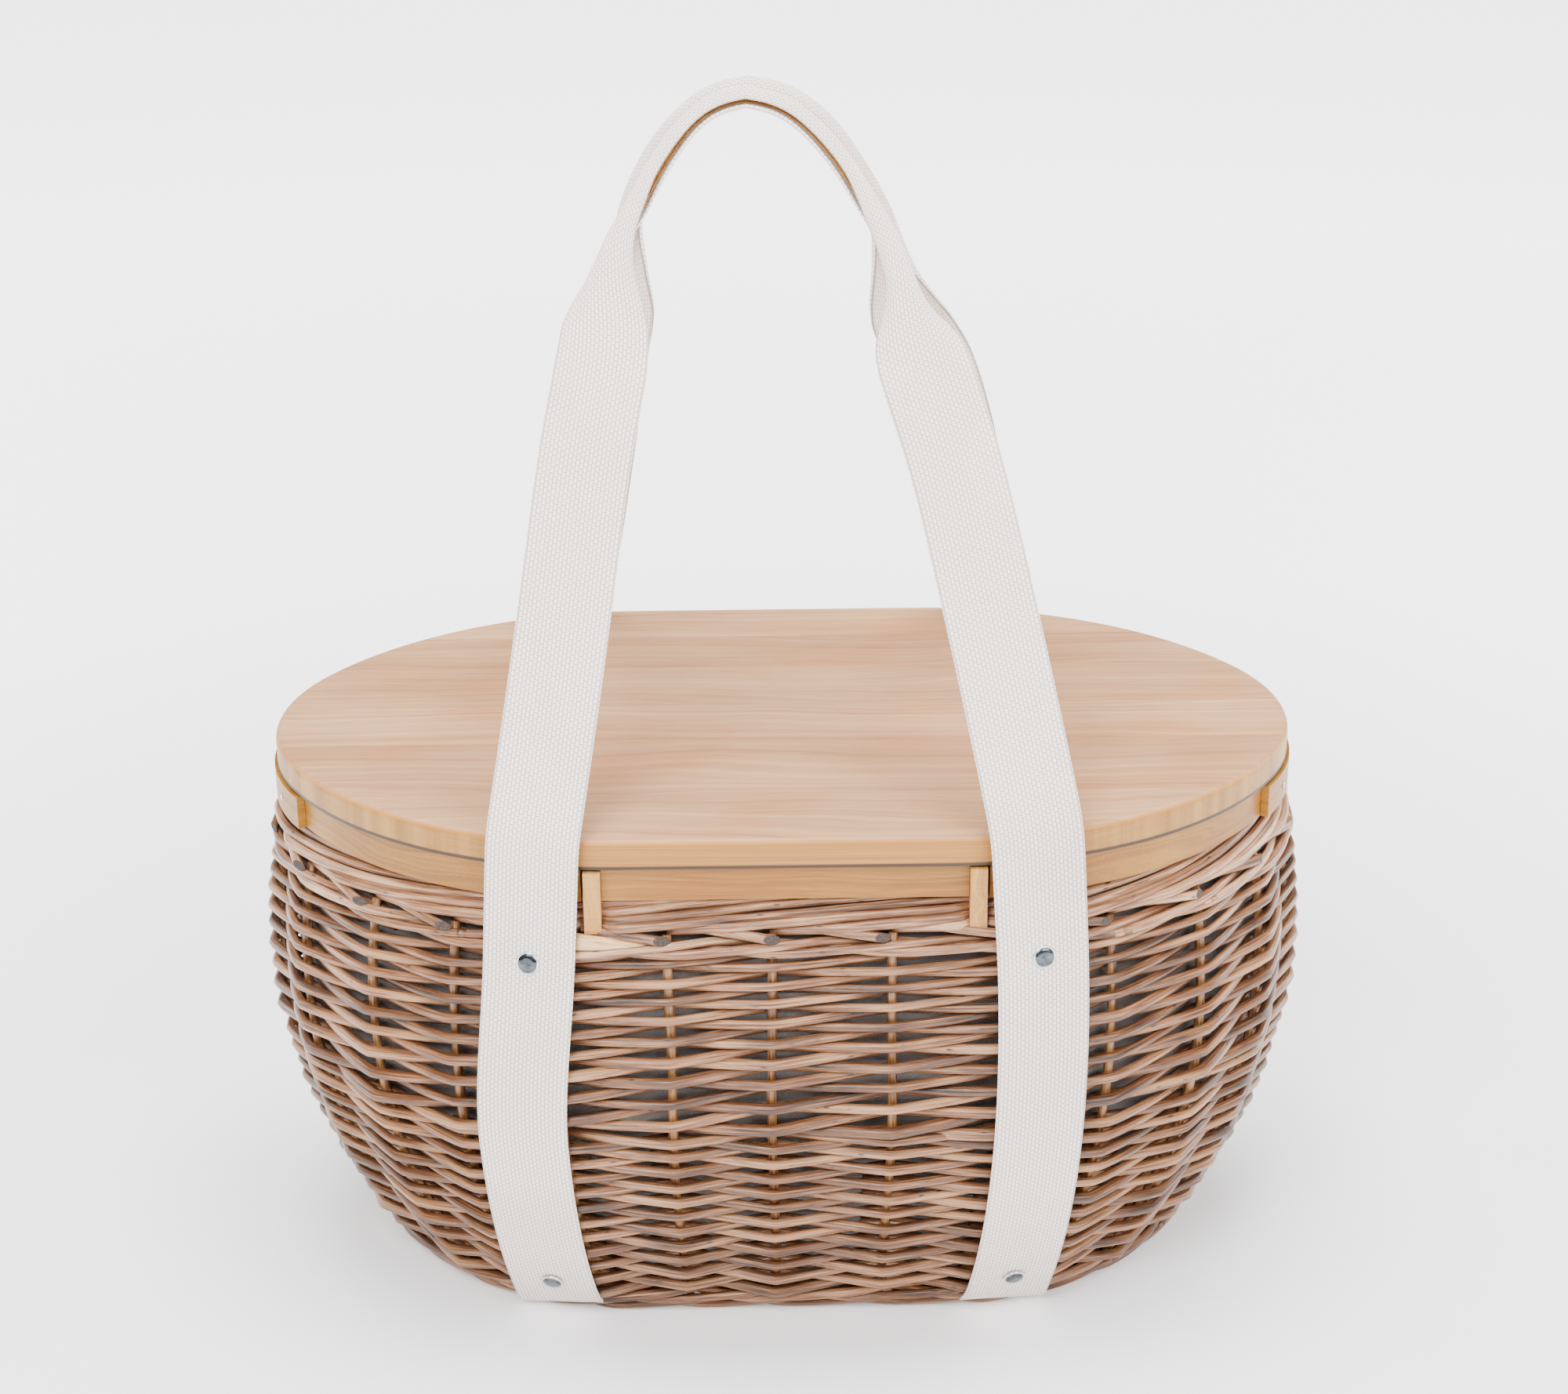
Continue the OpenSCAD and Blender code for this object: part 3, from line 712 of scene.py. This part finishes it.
def make_wedge():
    """One peeled tip is wedged in under the front left post."""
    mesh = Mesh()
    u = np.linspace(-112, -72, 12)
    share = np.linspace(0, 1, 12)
    point, normal = wall(u, 264.8 - 2.6 * share, 1.6 + 1.5 * share)
    radii = 4.4 * (1 - share) ** 0.6 + 0.5
    mesh.tube(point, normal, radii, rod_tone(0.2), sides=12, squeeze=0.6)
    return mesh.build("border_wedge", PEELED)


def add_tip(mesh, cuts, i, rng):
    """The short end of a border rod, poking out to the right and cut on a slant."""
    t = i + np.linspace(-0.75, -0.12, 8) + rng.uniform(-0.06, 0.06)
    share = np.linspace(0, 1, len(t))
    height = TIP_Z - rng.uniform(4.2, 5.4) * share
    point, normal = wall(around(t, BORDER_Z), height, 7.0 - 6.4 * share)
    tangent, angle, ring = circles(point, normal, 12)
    r = rng.uniform(2.4, 2.9)
    points = point[:, None] + ring * r
    slant = 1.5 * r * (1 - np.cos(angle))
    points[-1] += tangent[-1] * slant[:, None]
    tone = rod_tone()
    grain = rod_grain(np.linspace(0, 40, len(t)), np.full(len(t), r), angle)
    mesh.grid(points, grain, tone)
    # The cut: a face that is slightly raised at its middle
    rim = points[-1]
    centre = rim.mean(0)
    face = np.stack([centre + (rim - centre) * size for size in (1, 0.8, 0.35)])
    face[1:] += unit(np.cross(rim[3] - rim[0], rim[6] - rim[0])) * 0.25
    grain = rod_grain(np.full(3, float(i)), np.array([2.6, 2.0, 0.9]), angle)
    index = cuts.grid(face, grain, tone)
    cuts.faces.append(index[-1, :-1].reshape(1, -1))


# ---------- foot and base ----------


def make_foot():
    rng = random.Random(31)
    mesh = Mesh()
    wale(mesh, 6.9, 3.7, 2.85, rng, inward=1.2)
    wale(mesh, 14.6, 3.4, 2.85, rng, turn=1.4, inward=0.2)
    return mesh.build("foot_wale", WILLOW)


def make_base_mat():
    """Rings of rods woven over and under ribs that fan out from the three base sticks."""
    rng = random.Random(41)
    mesh = Mesh()
    ribs, rings = 32, 19
    low, high = extent("base_mat")
    middle = (low[2] + high[2]) / 2
    places = np.linspace(0, PERIMETER, 193)[:-1]
    outer = wall(places, 14.0, 20.0)[0][:, :2]
    core = np.stack([np.clip(outer[:, 0] * 0.86, -178, 178), np.sign(outer[:, 1]) * 7.0], -1)
    for k in range(rings):
        flat = core + (outer - core) * ((k + 0.5) / rings)
        z = middle + 1.5 * np.cos(math.pi * (places / PERIMETER * ribs + k))
        path = with_z(flat, z)
        path = np.concatenate([path, path[:2]])
        mesh.tube(path, UP, 2.0, rod_tone(), sides=6, along=rng.uniform(0, ALONG))
    for i in range(ribs):
        u = (i + 0.5) / ribs * PERIMETER
        j = int(u / PERIMETER * len(outer))
        flat = core[j] + (outer[j] - core[j]) * np.linspace(0, 1, 8)[:, None]
        mesh.tube(with_z(flat, np.full(8, middle)), UP, 1.5, rod_tone(), sides=6)
    return mesh.build("base_weave", WILLOW)


# ---------- the liner ----------


HEM_INSET = 13.3
# (Outward, upward) round the hem's section, in mm off its middle and as a share of its height
HEM_PROFILE = [
    (-1.0, 0.9), (-1.0, 0.1), (-0.75, 0.0), (0.75, 0.0),
    (1.0, 0.1), (1.0, 0.9), (0.6, 1.0), (-0.6, 1.0),
]


def make_liner():
    """Soft cloth bag: a wall panel that hangs from the rim in slack folds, and a laid floor."""
    rng = random.Random(53)
    waves = [(rng.randint(3, 23), rng.uniform(0, TAU), rng.uniform(0.25, 1.0)) for _ in range(14)]
    low, high = extent("liner")
    z = np.linspace(low[2] + 0.8, high[2], 34)
    uu, zz = np.meshgrid(np.linspace(0, PERIMETER, 301)[:-1], z)
    share = (zz - z[0]) / (z[-1] - z[0])
    turn = TAU * uu / PERIMETER
    folds = sum(a * np.sin(n * turn + p + 1.4 * share * math.sin(p * 3)) for n, p, a in waves)
    folds = folds / sum(a for _, _, a in waves) * 2
    slack = 2.6 * (0.25 + 0.75 * np.sin(math.pi * share) ** 0.8)
    point, _ = wall(uu, zz, 15.9 + slack * (1 + folds) * 0.6)
    # The top edge rises into the binding and is gripped between its two faces
    base, n = oval(uu)
    grip = np.clip((share - 0.9) / 0.1, 0, 1) ** 2
    point[..., :2] += (base - n * HEM_INSET - point[..., :2]) * grip[..., None]
    point[..., 2] += (extent("liner_binding")[0][2] + 3 - point[-1, :, 2]) * share**4
    panel = shell("liner_wall", CANVAS, point, np.stack([uu, zz, 0 * uu], -1), flip=True)
    # The floor spreads inward from the wall panel's lower edge
    edge = point[0]
    centre = np.stack([np.clip(edge[:, 0] * 0.6, -120, 120), edge[:, 1] * 0.02], -1)
    inward = np.linspace(0, 1, 24)[:, None]
    flat = edge[None, :, :2] + (centre - edge[:, :2])[None] * inward[..., None]
    x, y = flat[..., 0], flat[..., 1]
    ripple = 0.5 * np.sin(x / 31 + 1) * np.cos(y / 27) + 0.3 * np.sin(x / 13 + y / 17)
    level = edge[None, :, 2] + 0.4 * (1 + ripple) * np.sin(math.pi / 2 * inward)
    points = with_z(flat, level)
    floor = shell("liner_floor", CANVAS, points, points * np.array([1, 1, 0]), flip=True)
    for obj in (panel, floor):
        thicken(obj, 0.9)
    # Flat, the panel is as long as a line 22 mm inside the wall's widest, and a little taller
    width, height = PERIMETER - TAU * 22, high[2] - low[2] + 12
    return panel, floor, (width * MM, height * MM)


def thicken(obj, thickness):
    """Gives a sheet its thickness, baked into its mesh."""
    modifier = obj.modifiers.new("thickness", "SOLIDIFY")
    modifier.thickness = thickness * MM
    modifier.offset = 0
    graph = bpy.context.evaluated_depsgraph_get()
    mesh = bpy.data.meshes.new_from_object(obj.evaluated_get(graph))
    obj.modifiers.clear()
    obj.data = mesh


def make_hem():
    """Bound hem that hangs inside the rim, rippling a little."""
    low, high = extent("liner_binding")
    u = np.linspace(0, PERIMETER, 261)[:-1]
    base, n = oval(u)
    ripple = (0.25 * np.sin(u / 19) + 0.2 * np.sin(u / 7.3))[:, None]
    side, share = np.array(HEM_PROFILE).T
    out = -HEM_INSET + side + ripple * 0.6
    z = low[2] + (high[2] - low[2]) * share - (1 - share) * 0.6 * ripple
    points = with_z(base[:, None] + n[:, None] * out[..., None], z)
    grain = flat_grain(u, np.arange(len(HEM_PROFILE)) * 5.0)
    return shell("liner_hem", HEM, points, grain, closed=True)


# ---------- the straps ----------

# A loop is flat from its bend over the rim up to its crown, and leans in over the lid. In its own
# plane a place is (x, s), with s counted up from the bend.
BEND_Z, BEND_Y, GRIP_Y = 326.0, 176.0, 6.9
CROWN_R, CROWN_S, FLANK_R = 38.0, 352.0, 280.0
CROWN_TOP = CROWN_S + CROWN_R
CROWN_JOIN, FLANK_END = math.radians(40), math.radians(24)
LEG_X, LEG_TILT, LEG_LENGTH = 130.5, math.radians(9.8), 200
GRIP_R = 6.2
LEAN_ANGLE = math.asin((BEND_Y - GRIP_Y) / CROWN_TOP)
LEG_TURN = math.radians(12.5)
STRAP_LIFT = 2.9
LEG_U = STRAIGHT + LEG_TURN * (SHOULDER_R + BULGE)


def hermite(a, b, ta, tb, count):
    """Curve from a to b that sets out along ta and arrives along tb."""
    t = np.linspace(0, 1, count)[:, None]
    start, end = (2 * t**3 - 3 * t**2 + 1) * a, (3 * t**2 - 2 * t**3) * b
    return start + (t**3 - 2 * t**2 + t) * ta + end + (t**3 - t**2) * tb


def loop_centre():
    """Right half of a loop's centre line in its own plane, from the bend up to the crown."""
    leg_dir = spin(math.pi / 2 + LEG_TILT)
    leg = np.array([LEG_X, 0]) + leg_dir * np.linspace(0, LEG_LENGTH, 34)[:, None]
    crown_centre = np.array([0, CROWN_S])
    flank_centre = crown_centre - (FLANK_R - CROWN_R) * spin(CROWN_JOIN)
    flank = flank_centre + FLANK_R * spin(np.linspace(FLANK_END, CROWN_JOIN, 18))
    flank_dir = spin(math.pi / 2 + FLANK_END)
    neck = hermite(leg[-1], flank[0], leg_dir * 100, flank_dir * 100, 28)
    crown = crown_centre + CROWN_R * spin(np.linspace(CROWN_JOIN, math.pi / 2, 12))
    return np.concatenate([leg, neck[1:], flank[1:], crown[1:]])


# No two legs gather alike. By (front or back, right or left), in mm up the loop from its bend:
# where the gather starts, where the grip closes, and the leg's sway outward, its level and length
LEG_GATHERS = {
    (-1, 1): (240, 284, -1.5, 240, 40),
    (-1, -1): (240, 313, 6.0, 298, 30),
    (1, 1): (200, 288, -6.0, 245, 55),
    (1, -1): (222, 292, -2.0, 285, 25),
}
# By front or back: how late the loop drifts sideways, how its crown spreads, and how it settles
CROWN_SHIFTS = {-1: (1.5, 0.0, 2.9), 1: (2.2, 5.0, 0.7)}
# How far the webbing is rolled up, in radians, along a leg that gathers from 228 to its crown
ROLLS = (228, 256, 277, 295, 311, 335, 372, 388), (0.0, 1.2, 2.3, 3.5, 4.6, 4.9, 5.3, 5.6)
# Along the wall to the left, at the front left leg
STRAY_WAY = np.array([-math.cos(LEG_TURN), math.sin(LEG_TURN), 0])
VECTORS = ("point", "normal", "across")


def leg_place(sx, sy):
    """Where a leg runs up the wall: the lid's outline there and the wall's outward direction."""
    base, _ = oval(np.array([LEG_U]))
    corner = np.array([sx, sy])
    return np.abs(base[0]) * corner, spin(math.pi / 2 - LEG_TURN) * corner


def strap_band(sy):
    """Right half of a band: flat and square to the length under the base, then up the wall."""
    base, out = leg_place(1, sy)
    z = np.concatenate([np.linspace(14, 245, 44), np.linspace(249, 256, 3)])
    rise = (z - BULGE_Z) / WALL_R
    fall = np.sqrt(1 - rise**2)
    offset = BULGE - WALL_R + (WALL_R + STRAP_LIFT) * fall
    up = with_z(base + out * offset[:, None], z)
    up_normal = with_z(out * fall[:, None], rise)
    up_across = np.tile([out[1] * sy, -out[0] * sy, 0.0], (len(z), 1))
    flat_y = np.linspace(0, abs(up[0, 1]) - 12, 14) * sy
    under = np.stack(np.broadcast_arrays(up[0, 0] - 2, flat_y, WEB_T / 2 + 0.05), -1)
    rest = np.zeros(len(under) + len(up))
    return {
        "point": np.concatenate([under, up]),
        "normal": np.concatenate([np.tile(-UP, (len(under), 1)), up_normal]),
        "across": np.concatenate([np.tile([1.0, 0, 0], (len(under), 1)), up_across]),
        "roll": rest,
        "turned": rest,
        "width": rest + WEB_W,
        "s": rest - 1,
    }


def strap_loop(sy, side, drift):
    """Right half of a loop. Above the rivets it leaves the wall, passes the rim, bends in over the
    lid, turns on edge and rolls up into the grip."""
    loose, closed, sway, sway_s, sway_length = LEG_GATHERS[sy, side]
    late, spread, settle = CROWN_SHIFTS[sy]
    x, s = loop_centre().T
    x = x + np.clip(x / 20, 0, 1) * (2.4 * hump(s, 362, 22) - 4.0 * hump(s, 258, 42))
    x = x + sway * hump(s, sway_s, sway_length)
    shift = drift * (s / CROWN_TOP) ** late + spread * side * hump(s, CROWN_TOP, 40)
    s = s - settle * ease((s - 290) / 90)
    tilt_y, tilt_z = sy * math.sin(LEAN_ANGLE), math.cos(LEAN_ANGLE)
    point = np.stack([x + shift, sy * BEND_Y - s * tilt_y, BEND_Z + s * tilt_z], -1)
    tangent = unit(np.gradient(np.stack([x, s], -1), axis=0))
    flat = np.stack([tangent[:, 1], tangent[:, 0] * tilt_y, -tangent[:, 0] * tilt_z], -1)
    face = np.array([0, sy * math.cos(LEAN_ANGLE), math.sin(LEAN_ANGLE)])
    turn = (ease((s - 262) / 88) * math.pi / 2)[:, None]
    gather = np.interp(s, (loose, closed, closed + 25, 388), (228, 311, 366, 388))
    return {
        "point": point,
        "normal": face * np.cos(turn) + flat * np.sin(turn),
        "across": flat * np.cos(turn) - face * np.sin(turn),
        "roll": np.interp(gather, *ROLLS),
        "turned": np.interp(s, (300, 345), (0.0, 0.7)),
        "width": np.interp(gather, (0, 262, 311, 330), (WEB_W, 48.5, 38.0, 34.0)),
        "s": s,
    }


def strap_half(sy, side, drift):
    """Right half of a strap's centre line from under the base up to the crown of the grip, with
    its outward normal, its width direction and its roll."""
    band, loop = strap_band(sy), strap_loop(sy, side, drift)
    return smooth_corners({k: np.concatenate([band[k], loop[k]]) for k in band})


def strap_path(sy, drift):
    """Whole strap: its right half, then a mirrored one that drifts to the same side."""
    half = strap_half(sy, 1, drift)
    other = {k: v[::-1].copy() for k, v in strap_half(sy, -1, -drift).items()}
    for key in VECTORS:
        other[key] = other[key] * np.array([-1, 1, 1])
    if sy < 0:
        other["point"] += stray(other["point"])[:, None] * STRAY_WAY
    return {k: np.concatenate([half[k], other[k][1:]]) for k in half}


def stray(point):
    """The front left leg runs down the wall a little further left than its three fellows."""
    return 7.5 * ease((262 - point[:, 2]) / 120) * np.clip(-point[:, 1] / 60, 0, 1)


def smooth_corners(half):
    """Rounds the path where the webbing changes direction, and levels its steps to about 5 mm."""
    length = lengths(half["point"])
    count = int(length[-1] / 5)
    at = np.linspace(0, length[-1], count)
    out = {}
    for key, value in half.items():
        columns = value.reshape(len(value), -1)
        even = np.stack([np.interp(at, length, c) for c in columns.T], -1)
        if key in VECTORS:
            for _ in range(5):
                even[1:-1] = (even[:-2] + 2 * even[1:-1] + even[2:]) / 4
        out[key] = even.reshape((count, *value.shape[1:]))
    out["normal"] = unit(out["normal"])
    out["across"] = unit(out["across"])
    return out


def strap_section(path, offset, share, columns):
    """Points across the webbing at a distance off its middle face, curled by the path's roll."""
    v = np.linspace(-1, 1, columns) * share
    roll = np.maximum(path["roll"], 1e-3)[:, None]
    radius = path["width"][:, None] / roll
    turn = v[None] * roll / 2 + path["turned"][:, None]
    curled = np.clip(path["roll"][:, None] / 5.5, 0, 1)
    side = (radius * (1 - 0.08 * curled) + offset) * np.sin(turn)
    # Hands have pressed the rolled grip to an oval
    lift = radius * ((1 - 0.22 * curled**2) * np.cos(turn) - 1) + offset * np.cos(turn)
    lift = lift + GRIP_R * curled
    point, normal, across = (path[key][:, None] for key in VECTORS)
    return point + across * side[..., None] + normal * lift[..., None]


def make_strap(name, sy, drift):
    """A whole strap of webbing, and the lining inside its grip."""
    path = strap_path(sy, drift)
    outer, inner = (strap_section(path, face * WEB_T / 2, 0.985, 19) for face in (1, -1))
    side = strap_section(path, 0.0, 1.0, 2)
    ring = np.concatenate([outer, side[:, 1:], inner[:, ::-1], side[:, :1]], 1)
    length = lengths(path["point"])
    v = np.linspace(-1, 1, 19) * WEB_W / 2
    across = np.concatenate([v, [WEB_W / 2 + 1], v[::-1] + 70, [-WEB_W / 2 - 1]])
    grain = flat_grain(length, across)
    strap = shell(name, WEBBING, ring, grain, ends=True, flip=sy < 0)
    return strap, make_lining(name.replace("strap", "lining"), path, length, sy)


def make_lining(name, path, length, sy):
    """Tan lining inside the rolled grip, showing between the webbing's edges."""
    inside = path["s"] > 300
    part = {k: v[inside] for k, v in path.items()}
    outer, inner = (strap_section(part, -WEB_T / 2 - gap, 0.93, 17) for gap in (0.15, 1.1))
    ring = np.concatenate([outer, inner[:, ::-1]], 1)
    v = np.linspace(-1, 1, 17) * 18
    across = np.concatenate([v, v[::-1] + 50])
    return shell(name, LINING, ring, flat_grain(length[inside], across), ends=True, flip=sy < 0)


# ---------- rivets ----------

RIVET_Z = {"upper": 255.0, "lower": 36.0}
# (Radius, height) of a cap, from its crown out over its rolled rim
CAP_PROFILE = [
    (2.9, 2.1), (4.7, 1.85), (5.2, 1.45), (5.35, 1.25), (5.6, 1.5),
    (6.0, 1.45), (6.25, 0.9), (6.2, 0.2), (5.7, -0.2),
]


def make_rivet(name, sx, sy, z, aside=0.0):
    """Domed cap pressed into the webbing: a low crown inside a rolled rim."""
    base, out = leg_place(sx, sy)
    rise = (z - BULGE_Z) / WALL_R
    fall = math.sqrt(1 - rise * rise)
    seat = WALL_R + STRAP_LIFT + WEB_T / 2 - 0.15
    centre = np.array([*(base + out * (BULGE - WALL_R + seat * fall)), BULGE_Z + seat * rise])
    centre = centre + aside * STRAY_WAY
    normal = np.array([*(out * fall), rise])
    side = unit(np.cross(UP, normal))
    up = np.cross(normal, side)
    angle = np.arange(40) * TAU / 40
    circle = side * np.cos(angle)[:, None] + up * np.sin(angle)[:, None]
    radii, heights = np.array(CAP_PROFILE).T
    points = centre + normal * heights[:, None, None] + radii[:, None, None] * circle
    return shell(name, NICKEL_CAP, points, flat_grain(radii, angle), ends=True, flip=True)


# ---------- put it together ----------


def own(piece, body, slot_name, *nodes):
    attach(piece, body)
    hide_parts(*nodes)


def set_material(nodes, material):
    for name in nodes:
        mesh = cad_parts[name].data
        mesh.materials.clear()
        mesh.materials.append(material)


own(make_stakes(), "basket", "willow_stake", "stakes")
lower_weave, upper_weave = make_weaves()
own(lower_weave, "basket", "willow", *[n for n in WEAVES if "lower" in n])
own(upper_weave, "basket", "willow", *[n for n in WEAVES if "upper" in n])
for piece in (*make_border(), make_wedge()):
    own(piece, "basket", "willow", "top_border")
own(make_foot(), "basket", "willow", "foot_border")
own(make_base_mat(), "basket", "willow", "base_mat")

liner_wall, liner_floor, panel_size = make_liner()
own(liner_wall, "basket", "liner_canvas", "liner")
own(liner_floor, "basket", "liner_canvas", "liner")
hem = make_hem()
own(hem, "basket", "liner_hem", "liner_binding")

for end, drift in (("front", -16.0), ("back", -20.0)):
    strap, grip = make_strap(f"strap_{end}", SIGN[end], drift)
    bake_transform(strap)
    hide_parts(f"loop_{end}", "band_left", "band_right")
    own(grip, f"{end}_loop", "grip_leather", f"grip_lining_{end}")

for end, side in CORNERS:
    for level, z in RIVET_Z.items():
        name = f"rivet_{end}_{side}_{level}"
        aside = 6.5 if name == "rivet_front_left_lower" else 0.0
        cap = make_rivet(f"cap_{end}_{side}_{level}", SIGN[side], SIGN[end], z, aside)
        own(cap, "basket", "nickel", name)
        set_material([f"burr_{end}_{side}_{level}"], NICKEL)

set_material(["rim_tacks"], NICKEL)
set_material(["base_sticks"], WILLOW_STAKE)
set_material(["front_rail", "back_rail"] + [f"rim_strip_{f}_{s}" for f, s in CORNERS], PINE)
set_material([f"post_{f}_{s}" for f, s in CORNERS], POST_PINE)
for i, plank in enumerate(PLANKS):
    tones = LID_TONES[i % len(LID_TONES)]
    pine = planed_wood(f"lid_pine_{i + 1}", tones, 6.0, 1, lid_edge_colours, i * 0.37)
    set_material([plank], pine)


# ---------- stage, light and camera ----------


def make_floor():
    """Pale floor that glows brighter away from the basket, so that it fades to white."""
    s = Shader("floor")
    speckle = s.noise(s.place(), 40.0, 2.0, 0.5)
    colour = s.ramp(speckle, (0.3, (250, 250, 251)), (0.7, (252, 252, 253)))
    away = s.node("ShaderNodeVectorMath", {0: s.place()}, operation="LENGTH").outputs["Value"]
    far = s.ramp(s.math("DIVIDE", away, 3.0), (0.17, 0.08), (0.4, 0.55), (0.9, 1.0))
    white, glow = (255, 255, 255), s.times(far, 3.4)
    material = s.finish(colour, 0.7, Emission_Color=white, Emission_Strength=glow)
    half = 60.0
    corners = [(-half, -half, 0), (half, -half, 0), (half, half, 0), (-half, half, 0)]
    mesh = bpy.data.meshes.new("floor")
    mesh.from_pydata(corners, [], [(0, 1, 2, 3)])
    mesh.materials.append(material)
    add_object("floor", mesh)


def area_light(name, where, target, size, power):
    light = bpy.data.lights.new(name, "AREA")
    light.shape = "RECTANGLE"
    light.size, light.size_y = size
    light.energy = power
    obj = add_object(name, light)
    obj.location = where
    obj.rotation_euler = (Vector(target) - Vector(where)).to_track_quat("-Z", "Y").to_euler()


def make_lights():
    area_light("key", (-0.8, -2.0, 2.3), (0, 0, 0.25), (1.2, 1.2), 104)
    area_light("fill", (1.4, -1.8, 1.8), (0, 0, 0.25), (1.4, 1.4), 56)
    area_light("top", (0, 0.1, 2.8), (0, 0, 0.2), (1.8, 1.4), 150)
    for name, side, power in (("rim_left", -1, 18), ("rim_right", 1, 30)):
        area_light(name, (2.1 * side, 0.9, 0.9), (0, 0, 0.2), (0.5, 1.3), power)
    world = bpy.data.worlds.new("studio")
    world.use_nodes = True
    sky = world.node_tree.nodes["Background"].inputs
    sky["Color"].default_value = (1, 1, 1, 1)
    sky["Strength"].default_value = 0.5
    bpy.context.scene.world = world


def make_camera():
    """The photo's camera: its tilt, its slight roll and its slight turn about the basket."""
    pitch, roll, yaw = math.radians(22.29), math.radians(-0.54), math.radians(-0.35)
    forward = Vector((0, math.cos(pitch), -math.sin(pitch)))
    right, up = Vector((1, 0, 0)), Vector((0, math.sin(pitch), math.cos(pitch)))
    tilted = right * math.cos(roll) + up * math.sin(roll)
    upright = up * math.cos(roll) - right * math.sin(roll)
    axes = Matrix((tilted, upright, -forward)).transposed()
    turn = Matrix.Rotation(yaw, 3, "Z")
    data = bpy.data.cameras.new("camera")
    data.sensor_width = 36.0
    data.lens = 66.3
    data.clip_end = 200
    camera = add_object("camera", data)
    place = Matrix.Translation(turn @ Vector((0.00125, -1.5267, 0.9575)))
    camera.matrix_world = place @ (turn @ axes).to_4x4()
    bpy.context.scene.camera = camera


make_floor()
make_lights()
make_camera()
